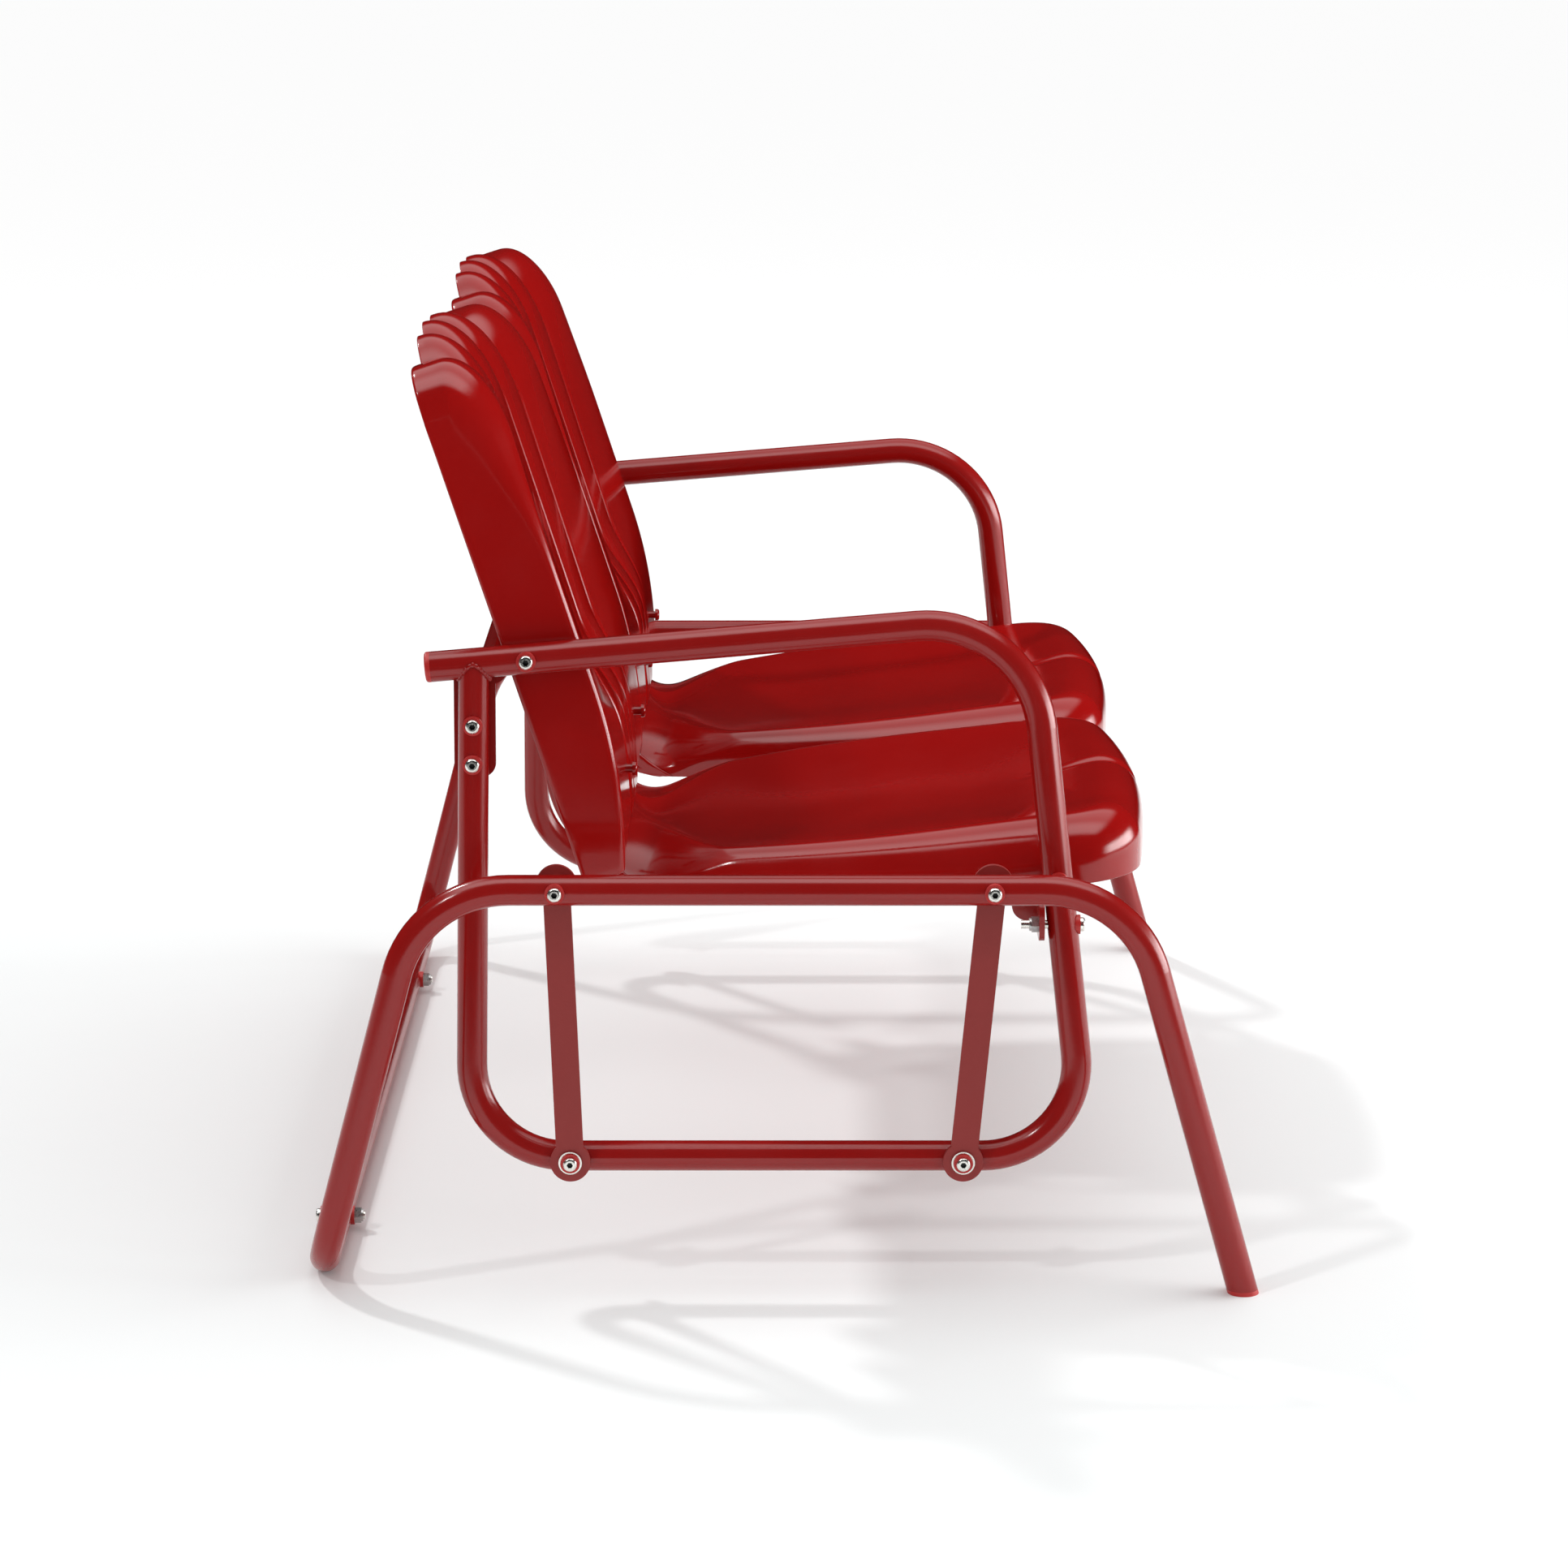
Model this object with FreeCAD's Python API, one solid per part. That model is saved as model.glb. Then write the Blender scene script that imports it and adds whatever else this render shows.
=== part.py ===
import FreeCAD, Part
import math
import os
from FreeCAD import Vector

# Outdoor glider loveseat, in millimetres.
# +Z is up, the sitter faces -Y, and +X is the sitter's left.
# The origin is on the floor, under the middle of the loveseat.

# Round steel tube
tube_diameter = 28.0
tube_wall = 1.5

# Base side frames
base_half = 603.0
base_rail_height = 382.0
base_bend = 106.0
front_foot_y = -426.0
rear_foot_y = 424.5
front_leg_splay = math.radians(15.8)
rear_leg_splay = math.radians(14.9)
elbow_bend = 72.0
elbow_end_x = 392.0
foot_plug_lip = 4.0
plug_stem = 18.0
plug_clearance = 0.15

# Rear floor stretcher
swage_diameter = 24.6
swage_length = 56.0
stretcher_bolt_inset = 30.0

# Hanger links and their pivots
rear_top_y = 203.0
front_top_y = -193.0
rear_bottom_y = 193.0
front_bottom_y = -168.0
hanger_width = 25.0
hanger_eye = 37.0
hanger_thickness = 5.0
bush_diameter = 13.0
bush_flange = 19.0
bush_lip = 1.2
pivot_clearance = 0.08
open_pivot_clearance = 1.1
running_gap = 0.3
top_spacer = 3.5
bottom_spacer = 0.5

# Arm frames, which lean inwards towards the top
arm_lean = math.radians(5.2)
glider_rail_height = 119.0
lower_bend = 86.0
upper_bend = 106.0
arm_rear_y = 318.0
arm_rear_z = 571.0
arm_rise = math.radians(4.8)
front_post_foot_y = -282.7
front_post_rake = math.radians(6.35)
rear_post_foot_y = 285.0
rear_post_rake = math.radians(0.8)
arm_plug_lip = 5.0

# Seat pans
panel_wall = 2.0
panel_gap = 6.0
seat_inset = 4.0
seat_rake = math.radians(7.0)
seat_nose_y = -350.0
nose_radius = 1400.0
nose_corner = 78.0
taper_start_y = -170.0
taper_bend = 600.0
seat_taper = math.radians(16.0)
skirt_rake = math.radians(2.5)
skirt_centre_y = 109.0
skirt_radius = 113.0
upturn_y = 75.0
upturn_z = 457.0
upturn_radius = 78.0
upturn_rise = 12.0
seat_edge_radius = 18.0
dish_radius = 1450.0
dish_depth = 16.0
seat_crease_radius = 26.0
seat_crease_depth = 7.0
seat_crease_length = 110.0

# Back shells, five flutes each
back_spacer = 2.2
back_recline = math.radians(18.1)
back_depth = 70.0
back_rear_y = 184.8
back_foot_z = 372.4
back_skirt = 12.0
back_bend_height = 80.0
back_hollow = 24.0
hollow_start_height = 96.0
hollow_full_height = 180.0
flute_count = 5
flute_top_pitch = 85.0
flute_foot_pitch = 56.0
flute_bulge = 11.0
flute_foot_bulge = 3.0
flute_dome = 12.0
crown_height = 501.0
crown_step = 4.0
crown_curve = 1.8
crown_radius = 50.0
shoulder_drop = 40.0
back_fold_radius = 12.0
back_cutout_gap = 1.0

# Cross rails between the arm frames
rear_rail_height = 566.0
front_rail_gap = 0.3
tab_thickness = 5.0
tab_width = 38.0
tab_overhang = 16.0
rear_tab_top = 580.0
rear_tab_foot = 467.0
front_tab_reach = 78.0

# Bolts, nuts and washers
bolt_diameter = 8.0
bolt_head = 13.0
bolt_head_height = 4.6
bolt_head_round = 2.6
socket_width = 5.0
socket_depth = 2.6
hole_clearance = 0.25
thread_clearance = 0.1
nut_width = 13.0
nut_height = 6.5
nut_collar = 2.0
nut_collar_diameter = 12.0
bolt_stub = 1.5
front_rail_bolt_stub = 7.5
washer_diameter = 18.0
washer_lip = 2.2
saddle_depth = 4.0
saddle_clearance = 0.05
ring_diameter = 21.5
ring_thickness = 1.5
plain_washer = 16.0

# Places of the bolts, seen from the side
back_bolt_y = 230.6
rear_rail_bolt_heights = (520.0, 484.5)
seat_bolt_height = 377.0
front_rail_bolt_height = 334.5
joining_bolt_y = -200.0
joining_bolt_height = 372.0
shell_bolt_drop = 12.0
shell_bolt_pitch = 130.0

# How far a cutting shape runs past the piece it cuts, and how close counts as touching
cut_margin = 10.0
tolerance = 0.01

# Values worked out from the sizes above
tube_radius = tube_diameter / 2
tube_bore = tube_radius - tube_wall
bolt_radius = bolt_diameter / 2
hole_radius = bolt_radius + hole_clearance
stretcher_bolt_x = elbow_end_x + stretcher_bolt_inset
hanger_outer_x = base_half - tube_radius - top_spacer - bush_lip - running_gap
hanger_inner_x = hanger_outer_x - hanger_thickness
arm_half = hanger_inner_x - bush_lip - running_gap - bottom_spacer - tube_radius

X_AXIS = Vector(1, 0, 0)
Y_AXIS = Vector(0, 1, 0)
Z_AXIS = Vector(0, 0, 1)
SIDES = {"left": 1, "right": -1}


# Helpers for tubes, bolts and washers

def bent_path(points, bends):
    """Straight runs through the points, with a tangent arc at each inner point."""
    edges = []
    start = points[0]
    for before, corner, after, bend in zip(points, points[1:], points[2:], bends):
        back = (before - corner).normalize()
        ahead = (after - corner).normalize()
        half_turn = (math.pi - back.getAngle(ahead)) / 2
        reach = bend * math.tan(half_turn)
        inside = (back + ahead).normalize()
        first = corner + back * reach
        last = corner + ahead * reach
        middle = corner + inside * (bend / math.cos(half_turn) - bend)
        edges.append(Part.LineSegment(start, first).toShape())
        edges.append(Part.Arc(first, middle, last).toShape())
        start = last
    edges.append(Part.LineSegment(start, points[-1]).toShape())
    return Part.Wire(edges)


def rod(path, radius):
    """A solid round bar along a path."""
    first = path.OrderedEdges[0]
    start = first.valueAt(first.FirstParameter)
    ahead = first.tangentAt(first.FirstParameter)
    ring = Part.Wire(Part.makeCircle(radius, start, ahead))
    return path.makePipeShell([ring], True, False)


def tube(path):
    return rod(path, tube_radius).cut(rod(path, tube_bore))


def bar(centre, axis, radius, length):
    """A round bar of the given length, centred on a point."""
    return Part.makeCylinder(radius, length, centre - axis * (length / 2), axis)


def ring(start, axis, outer, inner, length):
    body = Part.makeCylinder(outer, length, start, axis)
    return body.cut(Part.makeCylinder(inner, length, start, axis))


def drill(shape, centre, axis, length):
    return shape.cut(bar(centre, axis, hole_radius, length))


def hexagon(centre, axis, width):
    """A regular hexagon across the axis, given its width across flats."""
    side = axis.cross(Z_AXIS) if abs(axis.z) < 0.9 else axis.cross(X_AXIS)
    side.normalize()
    up = axis.cross(side)
    reach = width / math.sqrt(3)
    angles = [step * math.pi / 3 for step in range(7)]
    corners = [centre + side * (reach * math.cos(a)) + up * (reach * math.sin(a)) for a in angles]
    return Part.Face(Part.makePolygon(corners))


def bolt(seat, axis, length):
    """A button-head bolt with a hexagon socket; the seat is the underside of its head."""
    top = seat - axis * bolt_head_height
    head = Part.makeCylinder(bolt_head / 2, bolt_head_height, top, axis)
    rim = [edge for edge in head.Edges if (edge.CenterOfMass - top).Length < tolerance]
    head = head.makeFillet(bolt_head_round, rim)
    socket = hexagon(top, axis, socket_width).extrude(axis * socket_depth)
    shank = Part.makeCylinder(bolt_radius, length, seat, axis)
    return head.cut(socket).fuse(shank).removeSplitter()


def nut(seat, axis):
    """A lock nut whose flat face sits on the seat, with its collar further along the axis."""
    body = hexagon(seat, axis, nut_width).extrude(axis * nut_height)
    collar = Part.makeCylinder(nut_collar_diameter / 2, nut_height + nut_collar, seat, axis)
    bore = Part.makeCylinder(bolt_radius + thread_clearance, nut_height + nut_collar, seat, axis)
    return body.fuse(collar).removeSplitter().cut(bore)


def saddle(centre, out, tube_axis, lip, diameter):
    """A washer that sits astride a tube: hollow to fit it on one side and flat on the other."""
    seat = centre + out * (tube_radius - saddle_depth)
    body = ring(seat, out, diameter / 2, hole_radius, saddle_depth + lip)
    reach = 3 * diameter
    return body.cut(bar(centre, tube_axis, tube_radius + saddle_clearance, reach))


def group(shapes):
    return Part.makeCompound(shapes)


# Places on the arm frames

def arm_x(height):
    return arm_half - (height - glider_rail_height) * math.tan(arm_lean)


def on_arm(side, y, height):
    return Vector(side * arm_x(height), y, height)


def front_post_y(height):
    return front_post_foot_y + (height - glider_rail_height) * math.tan(front_post_rake)


def rear_post_y(height):
    return rear_post_foot_y - (height - glider_rail_height) * math.tan(rear_post_rake)


def arm_height(y):
    return arm_rear_z + (arm_rear_y - y) * math.tan(arm_rise)


def arm_corner():
    """Where the axes of the arm and of the front post cross."""
    rise = math.tan(arm_rise)
    rake = math.tan(front_post_rake)
    reach = arm_rear_y - front_post_foot_y + rake * glider_rail_height
    height = (arm_rear_z + rise * reach) / (1 + rise * rake)
    return front_post_y(height), height


def post_axis(side, post_y):
    low, high = glider_rail_height, arm_rear_z
    return (on_arm(side, post_y(high), high) - on_arm(side, post_y(low), low)).normalize()


def arm_axis(side):
    return (on_arm(side, 0, arm_height(0)) - on_arm(side, 1, arm_height(1))).normalize()


# Widths of the shells, which fill the room between the arm frames

back_outer = arm_x(arm_height(back_bolt_y)) - tube_radius - back_spacer
back_width = back_outer - panel_gap / 2
seat_width = back_width - 2 * seat_inset
panel_offset = (back_width + panel_gap) / 2
seat_half = seat_width / 2
back_half = back_width / 2
seat_outer = panel_offset + seat_half
seat_inner = panel_offset - seat_half
back_inner = panel_offset - back_half


# Base side frame: front leg, top rail, rear leg and the elbow that meets the stretcher

def base_path(side):
    x = side * base_half
    below = 2 * tube_diameter
    front_corner = front_foot_y + base_rail_height * math.tan(front_leg_splay)
    rear_corner = rear_foot_y - (base_rail_height - tube_radius) * math.tan(rear_leg_splay)
    points = [
        Vector(x, front_foot_y - below * math.tan(front_leg_splay), -below),
        Vector(x, front_corner, base_rail_height),
        Vector(x, rear_corner, base_rail_height),
        Vector(x, rear_foot_y, tube_radius),
        Vector(side * elbow_end_x, rear_foot_y, tube_radius),
    ]
    return bent_path(points, [base_bend, base_bend, elbow_bend])


def floor_slab(side, low, high):
    """A flat slab round the front foot, between two heights."""
    reach = 4 * tube_diameter
    corner = Vector(side * base_half - reach / 2, front_foot_y - reach / 2, low)
    return Part.makeBox(reach, reach, high - low, corner)


def base_side(side):
    frame = tube(base_path(side)).cut(floor_slab(side, -4 * tube_diameter, foot_plug_lip))
    for y in (rear_top_y, front_top_y):
        frame = drill(frame, Vector(side * base_half, y, base_rail_height), X_AXIS, 2 * tube_diameter)
    return drill(frame, stretcher_bolt_point(side), Y_AXIS, 2 * tube_diameter)


def foot_plug(side):
    leg = base_path(side)
    lip = rod(leg, tube_radius).common(floor_slab(side, 0, foot_plug_lip))
    stem_slab = floor_slab(side, foot_plug_lip, foot_plug_lip + plug_stem)
    stem = rod(leg, tube_bore - plug_clearance).common(stem_slab)
    return lip.fuse(stem)


# Rear stretcher, swaged at both ends to plug into the elbows

def stretcher_bolt_point(side):
    return Vector(side * stretcher_bolt_x, rear_foot_y, tube_radius)


def stretcher():
    middle = Vector(0, rear_foot_y, tube_radius)
    body = bar(middle, X_AXIS, tube_radius, 2 * (elbow_end_x - running_gap))
    swage = bar(middle, X_AXIS, swage_diameter / 2, 2 * (elbow_end_x + swage_length))
    bore = bar(middle, X_AXIS, swage_diameter / 2 - tube_wall, 4 * elbow_end_x)
    solid = body.fuse(swage).removeSplitter().cut(bore)
    for side in SIDES.values():
        solid = drill(solid, stretcher_bolt_point(side), Y_AXIS, 2 * tube_diameter)
    return solid


# Bolt, washer and nut through one tube, with the head on the side that "out" points to

def through_tube(centre, out, tube_axis, beyond):
    """The bolt through a tube and its head washer; the bolt runs on past the tube's far face."""
    washer = saddle(centre, out, tube_axis, washer_lip, washer_diameter)
    seat = centre + out * (tube_radius + washer_lip)
    length = 2 * tube_radius + washer_lip + beyond
    return bolt(seat, out * -1, length), washer


def stretcher_hardware():
    bolts, washers, nuts = [], [], []
    for side in SIDES.values():
        centre = stretcher_bolt_point(side)
        beyond = washer_lip + nut_height + nut_collar + bolt_stub
        pin, washer = through_tube(centre, Y_AXIS, X_AXIS, beyond)
        bolts.append(pin)
        washers.append(washer)
        washers.append(saddle(centre, Y_AXIS * -1, X_AXIS, washer_lip, washer_diameter))
        nuts.append(nut(centre - Y_AXIS * (tube_radius + washer_lip), Y_AXIS * -1))
    return bolts, washers, nuts


# Hanger links: flat bars with a round eye at each end, each eye with a flanged bush

def pivot_points(rear):
    top_y = rear_top_y if rear else front_top_y
    bottom_y = rear_bottom_y if rear else front_bottom_y
    return Vector(0, top_y, base_rail_height), Vector(0, bottom_y, glider_rail_height)


def hanger_start(side):
    """The lower X face of a hanger on one side."""
    return hanger_inner_x if side > 0 else -hanger_outer_x


def hanger(side, rear):
    top, bottom = pivot_points(rear)
    along = (bottom - top).normalize()
    across = X_AXIS.cross(along) * (hanger_width / 2)
    corners = [top + across, bottom + across, bottom - across, top - across, top + across]
    strap = Part.Face(Part.makePolygon(corners))
    shift = X_AXIS * hanger_start(side)
    body = strap.extrude(X_AXIS * hanger_thickness)
    for eye in (top, bottom):
        body = body.fuse(Part.makeCylinder(hanger_eye / 2, hanger_thickness, eye, X_AXIS))
    body = body.removeSplitter()
    for eye in (top, bottom):
        body = body.cut(Part.makeCylinder(bush_diameter / 2, hanger_thickness, eye, X_AXIS))
    return body.translated(shift)


def hanger_bush(side, eye, clearance):
    """A plastic sleeve through an eye, with a flange on each face of the link."""
    start = eye + X_AXIS * (hanger_start(side) - bush_lip)
    length = hanger_thickness + 2 * bush_lip
    sleeve = Part.makeCylinder(bush_diameter / 2, length, start, X_AXIS)
    for place in (start, start + X_AXIS * (length - bush_lip)):
        sleeve = sleeve.fuse(Part.makeCylinder(bush_flange / 2, bush_lip, place, X_AXIS))
    return sleeve.removeSplitter().cut(Part.makeCylinder(bolt_radius + clearance, length, start, X_AXIS))


def hanger_bushes(side, rear):
    top, bottom = pivot_points(rear)
    lower_clearance = pivot_clearance if rear else open_pivot_clearance
    return [hanger_bush(side, top, pivot_clearance), hanger_bush(side, bottom, lower_clearance)]


def top_pivot_hardware():
    bolts, washers, spacers, nuts = [], [], [], []
    for side in SIDES.values():
        out = X_AXIS * side
        inner_face = hanger_inner_x - bush_lip - running_gap
        for rear in (True, False):
            centre = pivot_points(rear)[0] + out * base_half
            nut_seat = pivot_points(rear)[0] + out * inner_face
            beyond = base_half - tube_radius - inner_face + nut_height + nut_collar + bolt_stub
            pin, washer = through_tube(centre, out, Y_AXIS, beyond)
            bolts.append(pin)
            washers.append(washer)
            spacers.append(saddle(centre, out * -1, Y_AXIS, top_spacer, washer_diameter))
            nuts.append(nut(nut_seat, out * -1))
    return bolts, washers, spacers, nuts


def bottom_pivot_hardware():
    bolts, washers, rings, spacers, nuts = [], [], [], [], []
    outer_face = hanger_outer_x + bush_lip + running_gap
    for side in SIDES.values():
        out = X_AXIS * side
        for rear in (True, False):
            eye = pivot_points(rear)[1]
            centre = eye + out * arm_half
            ring_seat = eye + out * outer_face
            washer_seat = ring_seat + out * ring_thickness
            head_seat = washer_seat + out * washer_lip
            length = outer_face + ring_thickness + washer_lip - arm_half + tube_radius
            beyond = washer_lip + nut_height + nut_collar + bolt_stub
            bolts.append(bolt(head_seat, out * -1, length + beyond))
            rings.append(ring(ring_seat, out, ring_diameter / 2, hole_radius, ring_thickness))
            washers.append(ring(washer_seat, out, washer_diameter / 2, hole_radius, washer_lip))
            spacers.append(saddle(centre, out, Y_AXIS, bottom_spacer, washer_diameter))
            spacers.append(saddle(centre, out * -1, Y_AXIS, washer_lip, washer_diameter))
            nuts.append(nut(centre - out * (tube_radius + washer_lip), out * -1))
    return bolts, washers, rings, spacers, nuts


# Arm frame: one bent tube for the arm, front post and lower rail, and the welded rear post

def arm_paths(side):
    corner_y, corner_z = arm_corner()
    rail = glider_rail_height
    loop = bent_path([
        on_arm(side, arm_rear_y, arm_rear_z),
        on_arm(side, corner_y, corner_z),
        on_arm(side, front_post_foot_y, rail),
        on_arm(side, 0, rail),
    ], [upper_bend, lower_bend])
    post_top = arm_height(rear_post_y(arm_rear_z))
    post = bent_path([
        on_arm(side, 0, rail),
        on_arm(side, rear_post_foot_y, rail),
        on_arm(side, rear_post_y(post_top), post_top),
    ], [lower_bend])
    return loop, post


def arm_frame(side):
    loop, post = arm_paths(side)
    rear = tube(post).cut(rod(loop, tube_radius))
    frame = tube(loop).fuse(rear).removeSplitter()
    for y in (rear_bottom_y, front_bottom_y):
        frame = drill(frame, on_arm(side, y, glider_rail_height), X_AXIS, 2 * tube_diameter)
    frame = drill(frame, back_bolt_point(side), X_AXIS, 2 * tube_diameter)
    for height in rear_rail_bolt_heights:
        frame = drill(frame, rear_rail_bolt_point(side, height), X_AXIS, 2 * tube_diameter)
    frame = drill(frame, seat_bolt_point(side), X_AXIS, 2 * tube_diameter)
    return drill(frame, front_rail_bolt_point(side), Y_AXIS, 2 * tube_diameter)


def arm_plug(side):
    end = on_arm(side, arm_rear_y, arm_rear_z)
    back = arm_axis(side) * -1
    lip = Part.makeCylinder(tube_radius, arm_plug_lip, end, back)
    tip = end + back * arm_plug_lip
    rim = [edge for edge in lip.Edges if (edge.CenterOfMass - tip).Length < tolerance]
    lip = lip.makeFillet(arm_plug_lip / 2, rim)
    stem = Part.makeCylinder(tube_bore - plug_clearance, plug_stem, end, back * -1)
    return lip.fuse(stem)


# Where the frame's own bolts cross the tubes

def back_bolt_point(side):
    return on_arm(side, back_bolt_y, arm_height(back_bolt_y))


def rear_rail_bolt_point(side, height):
    return on_arm(side, rear_post_y(height), height)


def seat_bolt_point(side):
    return on_arm(side, front_post_y(seat_bolt_height), seat_bolt_height)


def front_rail_bolt_point(side):
    return on_arm(side, front_post_y(front_rail_bolt_height), front_rail_bolt_height)


# Seat pan: a raked top that curls up at the rear, with a deep skirt and a rolled nose

seat_up = Vector(0, math.sin(seat_rake), math.cos(seat_rake))
seat_ahead = Vector(0, -math.cos(seat_rake), math.sin(seat_rake))
skirt_up = Vector(0, math.sin(skirt_rake), math.cos(skirt_rake))
skirt_ahead = Vector(0, -math.cos(skirt_rake), math.sin(skirt_rake))
upturn_centre = Vector(0, upturn_y, upturn_z)
skirt_centre = Vector(0, skirt_centre_y, upturn_z)
curl_start_y = upturn_y - upturn_radius * math.sin(seat_rake)
dish_reach = math.sqrt(dish_radius ** 2 - (dish_radius - dish_depth) ** 2)
dish_y = curl_start_y - dish_reach * math.cos(seat_rake)


def seat_top_height(y):
    start = upturn_centre - seat_up * upturn_radius
    return start.z + (start.y - y) * math.tan(seat_rake)


def skirt_foot_height(y):
    start = skirt_centre - skirt_up * skirt_radius
    return start.z + (start.y - y) * math.tan(skirt_rake)


def seat_profile(drop, overhang):
    """The side outline: the seat's top lowered by drop, and its skirt's edge moved out by overhang."""
    inner = upturn_radius + drop
    outer = skirt_radius + overhang
    reach = 2 * (upturn_y - seat_nose_y)
    slant = (seat_up * -1 + Y_AXIS).normalize()
    cap = upturn_rise - drop
    top_start = upturn_centre - seat_up * inner
    low_start = skirt_centre - skirt_up * outer
    top_end = upturn_centre + Y_AXIS * inner
    low_end = skirt_centre + Y_AXIS * outer
    points = [top_end, top_end + Z_AXIS * cap, low_end + Z_AXIS * cap, low_end]
    edges = [Part.LineSegment(a, b).toShape() for a, b in zip(points, points[1:])]
    edges.append(Part.Arc(low_end, skirt_centre + slant * outer, low_start).toShape())
    front = [low_start, low_start + skirt_ahead * reach, top_start + seat_ahead * reach, top_start]
    edges += [Part.LineSegment(a, b).toShape() for a, b in zip(front, front[1:])]
    edges.append(Part.Arc(top_start, upturn_centre + slant * inner, top_end).toShape())
    return Part.Face(Part.Wire(edges))


def taper_point(turn, inset):
    """A point on the bend where a side of the seat starts to taper, after some of its turn."""
    centre = Vector(seat_half - taper_bend, taper_start_y, 0)
    return centre + Vector(math.cos(turn), math.sin(turn), 0) * (taper_bend - inset)


def seat_plan(inset):
    """The seat's outline from above: a bowed nose, round corners and sides that taper to the rear."""
    corner = nose_corner - inset
    bow = nose_radius - inset
    bow_centre = Vector(0, seat_nose_y + nose_radius, 0)
    offset = seat_half - nose_corner
    corner_y = bow_centre.y - math.sqrt((bow - corner) ** 2 - offset ** 2)
    centre = Vector(offset, corner_y, 0)
    meet = (centre - bow_centre).normalize()
    nose_end = bow_centre + meet * bow
    turn = (meet + X_AXIS).normalize() * corner
    side_start = centre + X_AXIS * corner
    bend_end = taper_point(seat_taper, inset)
    run = skirt_centre_y + 2 * skirt_radius - bend_end.y
    tip = bend_end + Vector(-run * math.tan(seat_taper), run, 0)
    curves = [
        Part.Arc(nose_end, centre + turn, side_start),
        Part.LineSegment(side_start, taper_point(0, inset)),
        Part.Arc(taper_point(0, inset), taper_point(seat_taper / 2, inset), bend_end),
        Part.LineSegment(bend_end, tip),
    ]
    edges = [curve.toShape() for curve in curves]
    edges += [edge.mirror(Vector(0, 0, 0), X_AXIS) for edge in edges]
    other_end = Vector(-nose_end.x, nose_end.y, 0)
    edges.append(Part.Arc(nose_end, bow_centre - Y_AXIS * bow, other_end).toShape())
    edges.append(Part.LineSegment(tip, Vector(-tip.x, tip.y, 0)).toShape())
    return Part.Face(Part.Wire(Part.sortEdges(edges)[0]))


def on_seat_top(point, drop):
    """Whether a point lies on the seat's top surface."""
    away = point - upturn_centre
    flat = abs(away.dot(seat_up) + upturn_radius + drop)
    curl = abs(math.hypot(away.y, away.z) - upturn_radius - drop)
    rise = abs(away.y - upturn_radius - drop)
    if away.z > 0:
        return rise < tolerance
    return flat < tolerance if away.dot(seat_ahead) > 0 else curl < tolerance


def seat_block(drop, overhang):
    """The seat as one solid block, with its rolled top edge, its dish and its nose crease."""
    half = seat_half - drop
    block = seat_profile(drop, overhang).extrude(X_AXIS * (2 * half)).translated(X_AXIS * -half)
    block = block.common(seat_plan(drop).extrude(Z_AXIS * (2 * upturn_z)))
    rolled = []
    for edge in block.Edges:
        middle = edge.valueAt((edge.FirstParameter + edge.LastParameter) / 2)
        nose = middle.y < seat_nose_y + nose_corner
        if on_seat_top(middle, drop) and (nose or abs(middle.x) > half / 2):
            rolled.append(edge)
    block = block.makeFillet(seat_edge_radius - drop, rolled)
    return block.cut(seat_dish(drop)).cut(seat_crease(drop))


def seat_dish(drop):
    """The shallow round hollow of the seat, which ends where the seat curls up."""
    rim = Vector(0, dish_y, seat_top_height(dish_y))
    ball = Part.makeSphere(dish_radius + drop, rim + seat_up * (dish_radius - dish_depth))
    ahead_of_curl = Vector(-seat_width, curl_start_y - 2 * seat_width, 0)
    return ball.common(Part.makeBox(2 * seat_width, 2 * seat_width, upturn_z, ahead_of_curl))


def dish_drop(y):
    """How far the dish lies below the seat's rim along its centre line."""
    return dish_depth - (y - dish_y) ** 2 / (2 * dish_radius)


def seat_crease(drop):
    """A groove that leaves the dish and deepens towards the nose."""
    nose_top = Vector(0, seat_nose_y, seat_top_height(seat_nose_y))
    start = nose_top + seat_up * (seat_crease_radius - seat_crease_depth)
    lift = seat_crease_radius - dish_drop(seat_nose_y + seat_crease_length)
    run_out = nose_top - seat_ahead * seat_crease_length + seat_up * lift
    axis = (run_out - start).normalize()
    length = 2 * seat_crease_length
    return Part.makeCylinder(seat_crease_radius + drop, length, start - axis * (length / 2), axis)


def seat_pan():
    outer = seat_block(0, 0)
    inner = seat_block(panel_wall, cut_margin)
    return outer.cut(inner)


# Back shell: five flutes that fan out upwards, a domed top and deep side flanges

def flute_crease(index, share):
    """The distance from the centre line of the crease before a flute; share is 0 at the foot."""
    if index == 0:
        return -back_half
    if index == flute_count:
        return back_half
    pitch = flute_foot_pitch + (flute_top_pitch - flute_foot_pitch) * share
    return (index - flute_count / 2) * pitch


def flute_top(index):
    middle = (flute_count - 1) / 2
    return crown_height - crown_step * abs(index - middle) ** crown_curve


def crease_hollow(index, hollow):
    """How far the crease before a flute lies behind the outer folds."""
    middle = flute_count / 2
    return hollow * (1 - ((index - middle) / middle) ** 2)


def flute_hollow(index):
    return (crease_hollow(index, back_hollow) + crease_hollow(index + 1, back_hollow)) / 2


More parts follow.
